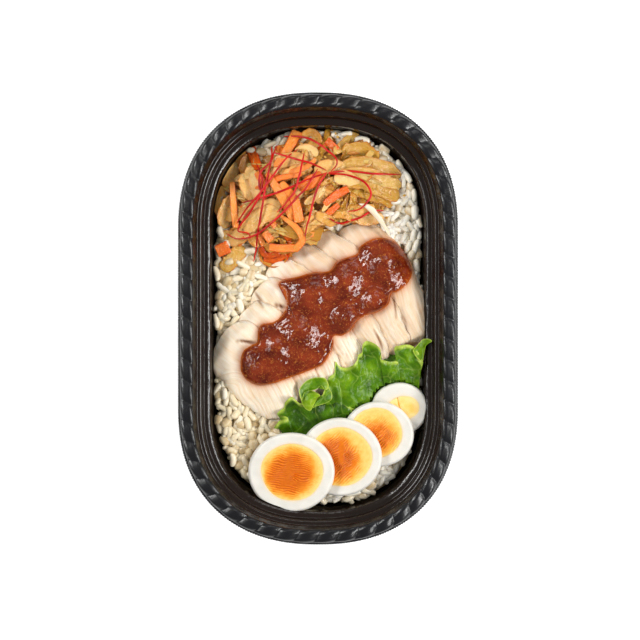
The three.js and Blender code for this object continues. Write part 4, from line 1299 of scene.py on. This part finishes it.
# burdock shavings: plan path, width, lift, roll, cup, tone
shavings = [
    [[[-2, 53], [4, 50.5], [9, 48]], 5.6, 2.2, 0.2, 0.3, 0.5],
    [[[6, 52.5], [13, 53], [20, 50]], 5.4, 1.6, -0.3, 0.4, 0.35],
    [[[-9, 44], [-4, 46.5], [0, 50]], 4.4, 2.4, 0.3, 0.4, 0.55],
    [[[-33.5, 60], [-35.5, 67], [-38, 74]], 8.5, 1.2, 0.25, 0.7, 0.8],
    [[[-47.5, 46], [-47, 54], [-43, 63]], 9.5, 1.0, 0.3, 0.8, 0.7],
    [[[-31, 60], [-32, 68], [-33.5, 76]], 5.5, 1.6, -0.2, 0.6, 0.85],
    [[[-36, 73], [-32.5, 76.5]], 6.0, 1.8, 0.2, 0.4, 0.85],
    [[[-41, 51], [-30, 56], [-18.5, 58.5]], 8.0, 1.6, 0.1, 0.9, 0.75],
    [[[-39, 44], [-30, 51], [-20, 55.5]], 9.5, 2.4, -0.15, 1.1, 0.68],
    [[[-46, 38], [-38, 43.5], [-29, 49]], 8.5, 1.6, -0.2, 0.8, 0.75],
    [[[-39, 74], [-37, 80], [-34, 84]], 6.5, 0.2, 0.2, 0.8, 0.15],
    [[[-12, 85], [-5, 86], [0, 83]], 6.0, 0.8, 0.1, 0.4, 0.95],
    [[[-10, 93], [-3, 95.5], [2, 90]], 5.0, 0.4, 0.5, 0.6, 0.5],
    [[[-24, 78], [-14, 81], [-5, 80]], 8.0, 1.8, 0.1, 0.8, 0.72],
    [[[-19, 71], [-11, 75], [-3, 76]], 6.0, 2.0, 0.1, 0.6, 0.65],
    [[[8, 70.5], [14, 71.5], [21, 68]], 8.0, 2.6, 0.15, 0.8, 0.95],
    [[[-2, 75], [6, 77], [14, 77]], 7.5, 1.6, -0.1, 0.7, 0.7],
    [[[2, 54], [7, 61], [11, 66]], 3.0, 2.6, 0.2, 0.2, 0.9],
    [[[-7, 58], [-1, 62], [4, 67]], 4.0, 2.2, 0.1, 0.3, 0.85],
    [[[-28, 38], [-22, 35.5], [-15, 36], [-11, 39]], 6.0, 1.0, 0.5, 0.6, 0.2],
    [[[-30, 33], [-24, 28.5], [-16, 29]], 5.0, -0.4, -0.3, 0.6, 0.3],
    [[[-30.5, 35], [-28.5, 29.5], [-23, 27], [-17.5, 29], [-16, 34]], 4.2, 1.2, -1.0, 0.3, 0.25],
    [[[-10, 48], [-2, 50], [6, 49]], 5.5, 1.6, 0.0, 0.5, 0.6],
    [[[-49.5, 44], [-44, 41.5], [-37, 42]], 7.5, 0.8, 0.3, 0.6, 0.62],
    [[[-50, 52], [-51, 60], [-48.5, 68]], 7.0, 0.2, 0.35, 0.6, 0.6],
    [[[-47.5, 67], [-45, 74], [-41, 80]], 7.5, 0.2, 0.3, 0.7, 0.7],
    [[[-44, 77], [-40.5, 84], [-36, 88.5]], 5.0, 0.2, 0.2, 0.4, 0.3],
    [[[14, 56], [22, 55], [29, 57]], 6.0, 1.4, 0.1, 0.6, 0.6],
]
# golden stalks and soft slices: plan path, width, lift, roll, cup, tone
stalks = [
    [[[-49, 24.5], [-43.5, 31], [-38, 37]], 8.0, 1.4, 0.1, 0.4, 0.7],
    [[[8, 84], [14, 90], [20.5, 96]], 5.0, 0.8, 0.1, 0.3, 0.75],
    [[[12, 85], [22, 86.5], [31, 81]], 8.5, 0.6, 0.3, 1.0, 0.6],
    [[[23.5, 79], [28, 86]], 3.2, 2.6, 0.0, 0.2, 0.95],
    [[[11, 78], [24, 79], [35, 77], [42, 72]], 7.5, 1.2, 0.2, 1.0, 0.72],
    [[[10, 73], [22, 74], [35, 70], [43, 68]], 6.5, 1.8, 0.0, 0.9, 0.8],
    [[[12, 68.5], [22, 69], [33, 64.5], [42, 62.5]], 8.0, 1.2, -0.25, 1.2, 0.62],
    [[[20, 64], [30, 62], [38, 58.5]], 6.5, 0.8, -0.3, 0.8, 0.5],
    [[[-19, 44.5], [-8, 43.5], [3, 43]], 7.5, 0.6, 0.25, 0.5, 0.3],
    [[[-8, 41.5], [0, 41.5], [7, 44.5]], 7.0, 0.4, 0.3, 0.5, 0.72],
]
# carrot strips: plan path, width, lift, roll, arch, tone
carrotStrips = [
    [[[-10.5, 96], [-15.5, 86], [-22.5, 77]], [5.8, 5.0, 2.4], 2.6, 0.1, 0.5, 0.75],
    [[[-34.5, 87.5], [-32.5, 82], [-30.5, 76]], 5.2, 0.8, 0.2, 0.3, 0.1],
    [[[-44, 70], [-43, 58], [-42, 46]], [2.6, 3.4, 3.2], 2.6, 0.0, 0.4, 0.85],
    [[[-26, 74], [-19, 63], [-12, 50]], [3.0, 5.0, 4.6], 3.6, 0.15, 0.8, 0.75],
    [[[-19, 69], [-12, 60], [-9.5, 48.5]], [4.0, 4.6, 5.4], 4.0, -0.15, 0.6, 0.65],
    [[[-10, 66], [-4, 69], [2, 73.5]], [4.5, 7.0, 4.0], 3.0, 0.2, 0.4, 0.4],
    [[[-19, 52], [-11.5, 46.5], [-8, 40], [-12, 34.5]], [1.6, 3.2, 3.6, 3.6], 3.0, 0.1, 0.6, 0.8],
    [[[-25, 36.5], [-19, 35.8], [-11, 36]], 4.0, 2.6, 0.15, 0.3, 0.6],
    [[[-52, 34], [-45.5, 37]], 6.5, 3.4, 0.1, 0.0, 0.35],
    [[[3, 57.5], [9, 62.5], [15.5, 66]], [3.2, 4.4, 3.6], 2.6, 0.2, 0.3, 0.25],
    [[[2, 50.5], [7, 55], [10.5, 58]], [1.4, 3.6, 2.8], 2.2, 0.1, 0.2, 0.2],
    [[[-27.5, 44], [-24, 39.5]], 4.0, 1.8, 0.0, 0.2, 0.6],
    [[[-31, 74.5], [-26, 66]], 4.0, 2.2, 0.2, 0.3, 0.5],
    [[[4.5, 91], [10, 85.5]], 4.0, 1.0, 0.2, 0.2, 0.25],
    [[[-32, 66], [-20, 71], [-8, 73]], [1.8, 3.0, 2.2], 2.8, 0.0, 0.4, 0.5],
    [[[-15, 74], [-6, 77], [-1, 81]], [2.6, 3.2, 2.0], 2.6, 0.0, 0.2, 0.7],
    [[[-41, 38], [-37, 41]], 3.0, 2.8, 0.0, 0.1, 0.7],
    [[[-28, 31], [-22, 30], [-16, 33]], 3.4, 1.4, 0.4, 0.2, 0.1],
    [[[-29.5, 36.5], [-26.5, 32.5], [-19.5, 33.5]], 3.2, 2.0, 0.5, 0.3, 0.0],
]


def randomStraps(count, lengths, widths, thick, lift, blunt, seed, marginShare=0.9):
    # straps thrown at random over the heap, each lying along its surface
    dice = np.random.default_rng(seed)
    made, tones = [], []
    for k in range(count):
        r = marginShare * math.sqrt(dice.random())
        turn = dice.random() * 2 * math.pi
        along, aside = heap["half"][0] * r * math.cos(turn), heap["half"][1] * r * math.sin(turn)
        x = heap["centre"][0] + along * math.cos(heap["turn"]) - aside * math.sin(heap["turn"])
        y = heap["centre"][1] + along * math.sin(heap["turn"]) + aside * math.cos(heap["turn"])
        half = dice.uniform(*lengths) / 2
        yaw = dice.random() * math.pi
        step = half * np.array([math.cos(yaw), math.sin(yaw)])
        bow = dice.uniform(-0.2, 0.2) * half * np.array([-math.sin(yaw), math.cos(yaw)])
        plan = [[x - step[0], y - step[1]], [x + bow[0], y + bow[1]], [x + step[0], y + step[1]]]
        if x > -20 and aboveBorder(*np.array(plan).T).min() < 1.0:
            continue
        path = layOn(plan, dice.uniform(*lift), dice.uniform(-0.3, 0.9))
        made.append(strap(path, dice.uniform(*widths), thick, cup=dice.uniform(0.2, 1.2),
                          roll=dice.uniform(-0.5, 0.5), blunt=blunt, rows=18, columns=12, rough=0.08, seed=k))
        tones.append(min(dice.random() + 0.4 * (x < -18), 1.0))
    return made, tones


def byHand(rowsOfPieces, thick, blunt, rough):
    # one strap for each row of a list, with the list's last number as its tone
    made = []
    for k, (plan, width, lift, roll, cup, tone) in enumerate(rowsOfPieces):
        made.append(strap(layOn(plan, lift, 0.6), width, thick, cup=cup, roll=roll, blunt=blunt, rows=34,
                          columns=20, rough=rough, seed=k))
    return made, [row[-1] for row in rowsOfPieces]


makeHeapCore()
handMade, handTones = byHand(shavings, 0.8, 2.8, 0.16)
thrown, thrownTones = randomStraps(130, (7, 17), (3, 7.5), 0.7, (-1.6, 1.1), 3.0, 5)
burdock = joinStraps("burdock_shavings", handMade + thrown, handTones + thrownTones, burdockFinish)
handMade, handTones = byHand(stalks, 1.3, 5.0, 0.2)
thrown, thrownTones = randomStraps(60, (9, 20), (1.4, 3.6), 1.0, (-1.0, 1.2), 6.0, 6)
stalkPiece = joinStraps("burdock_stalks", handMade + thrown, handTones + thrownTones, stalkFinish)
handMade, handTones = [], []
for k, (plan, width, lift, roll, arch, tone) in enumerate(carrotStrips):
    handMade.append(strap(layOn(plan, lift, arch), width, 1.5, cup=0.25, roll=roll, blunt=26.0, rows=44,
                          columns=20, rough=0.05, seed=k, corner=0.45))
    handTones.append(tone)
thrown, thrownTones = randomStraps(22, (6, 13), (2.0, 3.4), 1.2, (-1.4, 0.6), 12.0, 9, 0.85)
carrots = joinStraps("carrot_strips", handMade + thrown, handTones + thrownTones, carrotFinish)
for piece in (burdock, stalkPiece, carrots):
    settle(piece, "braised_vegetables", "burdock_carrot_heap")
print("heap made")


# where crumbs lie: x, y, spread, count
crumbSpots = [[13, 54, 11, 150], [30, 62, 8, 50], [-5, 76, 14, 60], [-22, 52, 12, 50], [12, 70, 10, 60]]


def makeCrumbs():
    # sesame and crumbs of root: small flattened seeds lying on the heap around a few places
    dice = np.random.default_rng(31)
    spots = []
    for cx, cy, spread, count in crumbSpots:
        spots.append(np.array([cx, cy]) + dice.normal(0, spread / 2, (count, 2)))
    flat = np.concatenate(spots)
    flat = flat[aboveBorder(flat[:, 0], flat[:, 1]) > 1.5]
    count = len(flat)
    places = np.column_stack([flat, heapTop(flat[:, 0], flat[:, 1]) + dice.uniform(0.6, 2.6, count)])
    piece = sow("sesame_crumbs", (0.0,), [0.85, 0.6, 0.45], places, dice.uniform(0, 6.28, count),
                dice.normal(0, 0.4, count), dice.normal(0, 0.5, count), dice.uniform(0.1, 0.6, count),
                stalkFinish, dice)
    return settle(piece, "braised_vegetables")


makeCrumbs()
print("crumbs made")


# chilli threads: plan path, lift over the heap at both ends and the middle
threads = [
    [[[-17.7, 93.1], [-9, 92.8], [-2.5, 90.5], [4.5, 85.5], [9.1, 81.5], [9.6, 78], [6.6, 74.4]],
     4.2, 6.0],
    [[[5, 73.9], [16, 74.8], [28, 73.6], [42.4, 73.6]], 5.0, 4.2],
    [[[4.5, 73.4], [15, 72.6], [23.7, 68.9], [26.8, 63.3], [24.5, 58.5], [20.2, 55.2], [14.6, 54.2]],
     3.6, 6.2],
    [[[5.5, 50.7], [11, 48.4], [16.1, 49.7], [22, 51.5], [27.7, 54.7], [33.8, 55.0]], 3.4, 4.2],
    [[[0, 75.9], [-6, 66], [-10.1, 61.8], [-18, 53.5], [-25.7, 46.7], [-33, 42], [-40.9, 40.6],
      [-47.4, 43.6]], 5.2, 5.6],
    [[[4.5, 74.4], [0, 66.5], [-2.5, 58.8], [-5, 49], [-6.6, 41.1]], 5.0, 4.6],
    [[[-7, 84.5], [-8.8, 76], [-11.1, 66.3], [-15, 60], [-21, 53.5]], 5.2, 6.2],
    [[[-32.8, 29], [-31.5, 36], [-30.8, 42.1], [-28, 58], [-25.7, 71.9], [-21.2, 88.5]], 4.4, 5.2],
    [[[-41.4, 48.2], [-36, 56], [-28.7, 64.3], [-22.5, 73], [-16.1, 81.5], [-9.6, 86.5]], 4.4, 5.6],
    [[[-38.8, 58.8], [-28, 61.5], [-17.7, 64.8], [-6, 70], [4.5, 73.9]], 4.4, 5.2],
    [[[-22.7, 84.5], [-10, 80.5], [-4, 78.8], [4.5, 74.9]], 5.0, 5.4],
    [[[-31.5, 79], [-28, 70], [-30, 62], [-36, 52], [-41, 45], [-36, 43.5], [-34, 40.5]], 4.6, 5.4],
    [[[-23.5, 88], [-24, 80], [-29, 74], [-29.5, 66], [-26, 60]], 4.6, 5.6],
]


def makeThreads():
    # thin straps over the heap or the chicken, whichever is higher: a quartic fitted to the height along
    # each one, plus a half sine from the low to the high lift and a little waver
    straps = []
    for k, (plan, low, high) in enumerate(threads):
        spine = splineThrough(plan, 70)
        s = np.linspace(0, 1, 70)
        base = np.maximum(heapTop(spine[:, 0], spine[:, 1]), chickenTop(spine[:, 0], spine[:, 1]))
        base = np.polyval(np.polyfit(s, base, 4), s)
        z = base + low + (high - low) * np.sin(math.pi * s) + 0.5 * bumps(s * 20, s * 0 + k, 3, k)
        path = np.column_stack([spine[:, 0] + 0.25 * bumps(s * 20, s * 0 + k, 2.2, k), spine[:, 1], z])
        straps.append(strap(path, [0.7, 1.1, 1.05, 0.6], 0.75, blunt=20, rows=140, columns=8))
    return joinStraps("chilli_threads", straps, [0.5] * len(straps), chilliFinish)


settle(makeThreads(), "braised_vegetables")
print("threads made")


# rice: grains and barley sown in layers wherever no other piece hides them

rice = {
    "level": 17.2,
    "spacing": 4.4,
    "layers": 3,
    "layerStep": 1.3,
    "grain": [3.9, 1.75, 1.6],
    "barley": [3.0, 2.6, 2.1],
    "wallClearance": 19.4,
    "lowerEndClearance": 1.8,
    "underCover": 1.5,
    "coreDepth": 2.1,
    "coreTop": 16.2,
}


def riceLevel(x, y):
    # the level plus bumps of two sizes
    return rice["level"] + 1.0 * bumps(x, y, 13, 11) + 0.5 * bumps(x, y, 6, 12)


def sowRice():
    # layers of jittered places wherever nothing hides them, kept under what lies above; near the wall the
    # grains turn along it
    dice = np.random.default_rng(71)
    eggParts = [part for pair in eggPieces for part in pair]
    covers = slicePieces + leafPieces + [saucePiece, burdock, stalkPiece] + eggParts
    low = lowestOver(covers)
    covered = low < 90
    hidden = covered.copy()
    for dx in range(-3, 4):
        for dy in range(-3, 4):
            if dx * dx + dy * dy < 11:
                hidden &= np.roll(covered, (dx, dy), axis=(0, 1))
    step = rice["spacing"]
    gx, gy = np.meshgrid(np.arange(-56, 57, step), np.arange(-100, 101, step * 0.9), indexing="ij")
    made = []
    for layer in range(rice["layers"]):
        x = (gx + dice.uniform(-0.45, 0.45, gx.shape) * step + layer * 1.3).ravel()
        y = (gy + dice.uniform(-0.45, 0.45, gx.shape) * step + layer * 0.7).ravel()
        z = riceLevel(x, y) - layer * rice["layerStep"] + dice.uniform(-0.8, 0.8, x.shape)
        z = np.minimum(z, lowestAt(low, x, y) - rice["underCover"])
        clearance = rice["wallClearance"] + rice["lowerEndClearance"] * smoothStep(-y, 40, 75)
        clear = insetAt(x, y) > clearance + 0.12 * (17.0 - z)
        keep = ~lowestAt(hidden, x, y) & clear & (z > 11)
        made.append(np.stack([x, y, z], axis=1)[keep])
    places = np.concatenate(made)
    x, y, z = places.T
    count = len(x)
    kind = dice.random(count) < 0.08 + 0.22 * (x < 0)
    slopeX = insetAt(x + 0.5, y) - insetAt(x - 0.5, y)
    slopeY = insetAt(x, y + 0.5) - insetAt(x, y - 0.5)
    alongWall = np.arctan2(slopeX, -slopeY) + dice.normal(0, 0.35, count)
    anyWay = dice.uniform(0, 2 * math.pi, count)
    yaw = np.where(insetAt(x, y) < rice["wallClearance"] + 2.4, alongWall, anyWay)
    pitch = dice.normal(0, 0.22, count)
    roll = dice.uniform(0, 2 * math.pi, count)
    tone = dice.uniform(0.0, 1.0, count)
    # paler grains towards the right and darker ones on the left: painted light against the wall's shade on
    # the right and the stronger light on the left; the rest of the tone is random
    tone = tone + 0.8 * (1 - tone) * smoothStep(x, 20, 40) - (0.35 + 0.35 * smoothStep(-y, 20, 50)) * (x < 0)
    grains = sow("rice_grains", (0.0, 0.3, 0.55), rice["grain"], places[~kind], yaw[~kind], pitch[~kind],
                 roll[~kind], tone[~kind], riceFinish, dice)
    barley = sow("barley_grains", (0.0, 0.08), rice["barley"], places[kind], yaw[kind], pitch[kind],
                 dice.normal(0, 0.5, kind.sum()), tone[kind], barleyFinish, dice)
    settle(grains, "rice", "barley_rice_bed")
    settle(barley, "rice", "barley_rice_bed")


def makeRiceCore():
    # rings from the middle outwards, under the grains' level and no higher than the core's top, sinking
    # by 4 to 6.5 mm next to the wall, then down to the floor
    rows, columns = 60, 240
    u = np.arange(columns)[None, :] / columns
    share = np.linspace(0.02, 1, rows)[:, None]
    ex, ey = onOutline(u, 20.0)
    x, y = ex * share, ey * share
    z = riceLevel(x, y) - rice["coreDepth"] + 0.7 * bumps(x, y, 2.6, 13)
    z = np.minimum(z, rice["coreTop"]) - (4.0 + 2.5 * smoothStep(-y, 40, 75)) * smoothStep(share, 0.86, 0.98)
    lowX, lowY = onOutline(u, 20.6)
    side = np.stack([lowX, lowY, np.full_like(lowX, 3.2)], axis=-1)
    bottomX, bottomY = onOutline(u, 22.5)
    bottom = np.stack([bottomX, bottomY, np.full_like(lowX, 1.3)], axis=-1)
    grid = np.concatenate([np.stack([x, y, z], axis=-1), side, bottom])
    plain = np.zeros(grid.shape[:2])
    piece = skin("rice_core", grid, riceShadowFinish, {"tone": 0.5 + plain, "crease": plain})
    return settle(piece, "rice", "barley_rice_bed")


makeRiceCore()
sowRice()
print("rice made")


# camera and lights

scene = bpy.context.scene
scene.view_settings.view_transform = "Standard"
centre = (trayLow + trayHigh) / 2 * mm
camera = bpy.data.objects.new("camera", bpy.data.cameras.new("camera"))
scene.collection.objects.link(camera)
cameraRise = 1.25
viewWidth = (trayHigh[1] - trayLow[1]) * mm * 640 / 456
sensor = 36
camera.data.sensor_width = sensor
camera.data.lens = sensor * cameraRise / viewWidth
camera.location = (centre[0] + 0.0010, centre[1] - 0.0008, trayHeight * mm + cameraRise)
camera.rotation_euler = (0, 0, 0)
scene.camera = camera

world = bpy.data.worlds.new("studio")
world.use_nodes = True
world.node_tree.nodes["Background"].inputs["Color"].default_value = linear("#ffffff")
world.node_tree.nodes["Background"].inputs["Strength"].default_value = 0.28
scene.world = world


def softLight(name, place, size, power):
    # a rectangular lamp that looks at the tray
    light = bpy.data.lights.new(name, "AREA")
    light.shape = "RECTANGLE"
    light.size, light.size_y = size
    light.energy = power
    lamp = bpy.data.objects.new(name, light)
    scene.collection.objects.link(lamp)
    lamp.location = place
    direction = -np.array(place) + np.array([0, 0, 0.02])
    lamp.rotation_euler = Vector(direction).to_track_quat("-Z", "Y").to_euler()
    return lamp


softLight("window_right", (0.78, -0.42, 0.8), (0.6, 0.19), 6.8)
softLight("window_left", (-0.78, 0.45, 0.78), (0.5, 0.24), 7.2)
softLight("left_strip", (-0.95, 0.05, 0.78), (0.8, 0.1), 2.2)
softLight("side_strip", (0.95, 0.1, 0.78), (0.8, 0.17), 7.4)
softLight("back_fill", (0.2, 0.95, 0.8), (0.6, 0.25), 1.5)

floorMaterial, floorTree = startMaterial("pale_studio_floor")[:2]
finishMaterial(floorTree, {
    "Base Color": linear("#ffffff"), "Roughness": 0.9,
    "Emission Color": linear("#ffffff"), "Emission Strength": 0.5})
floorCorners = np.array([[-1, -1, 0], [1, -1, 0], [1, 1, 0], [-1, 1, 0]])
floorHalf = 1500.0
floorGap = 0.05
floorPoints = floorCorners * floorHalf + np.array([0, 0, trayLow[2] - floorGap])
floor = fillMesh("floor", floorPoints, [(0, 1, 2, 3)], floorMaterial)
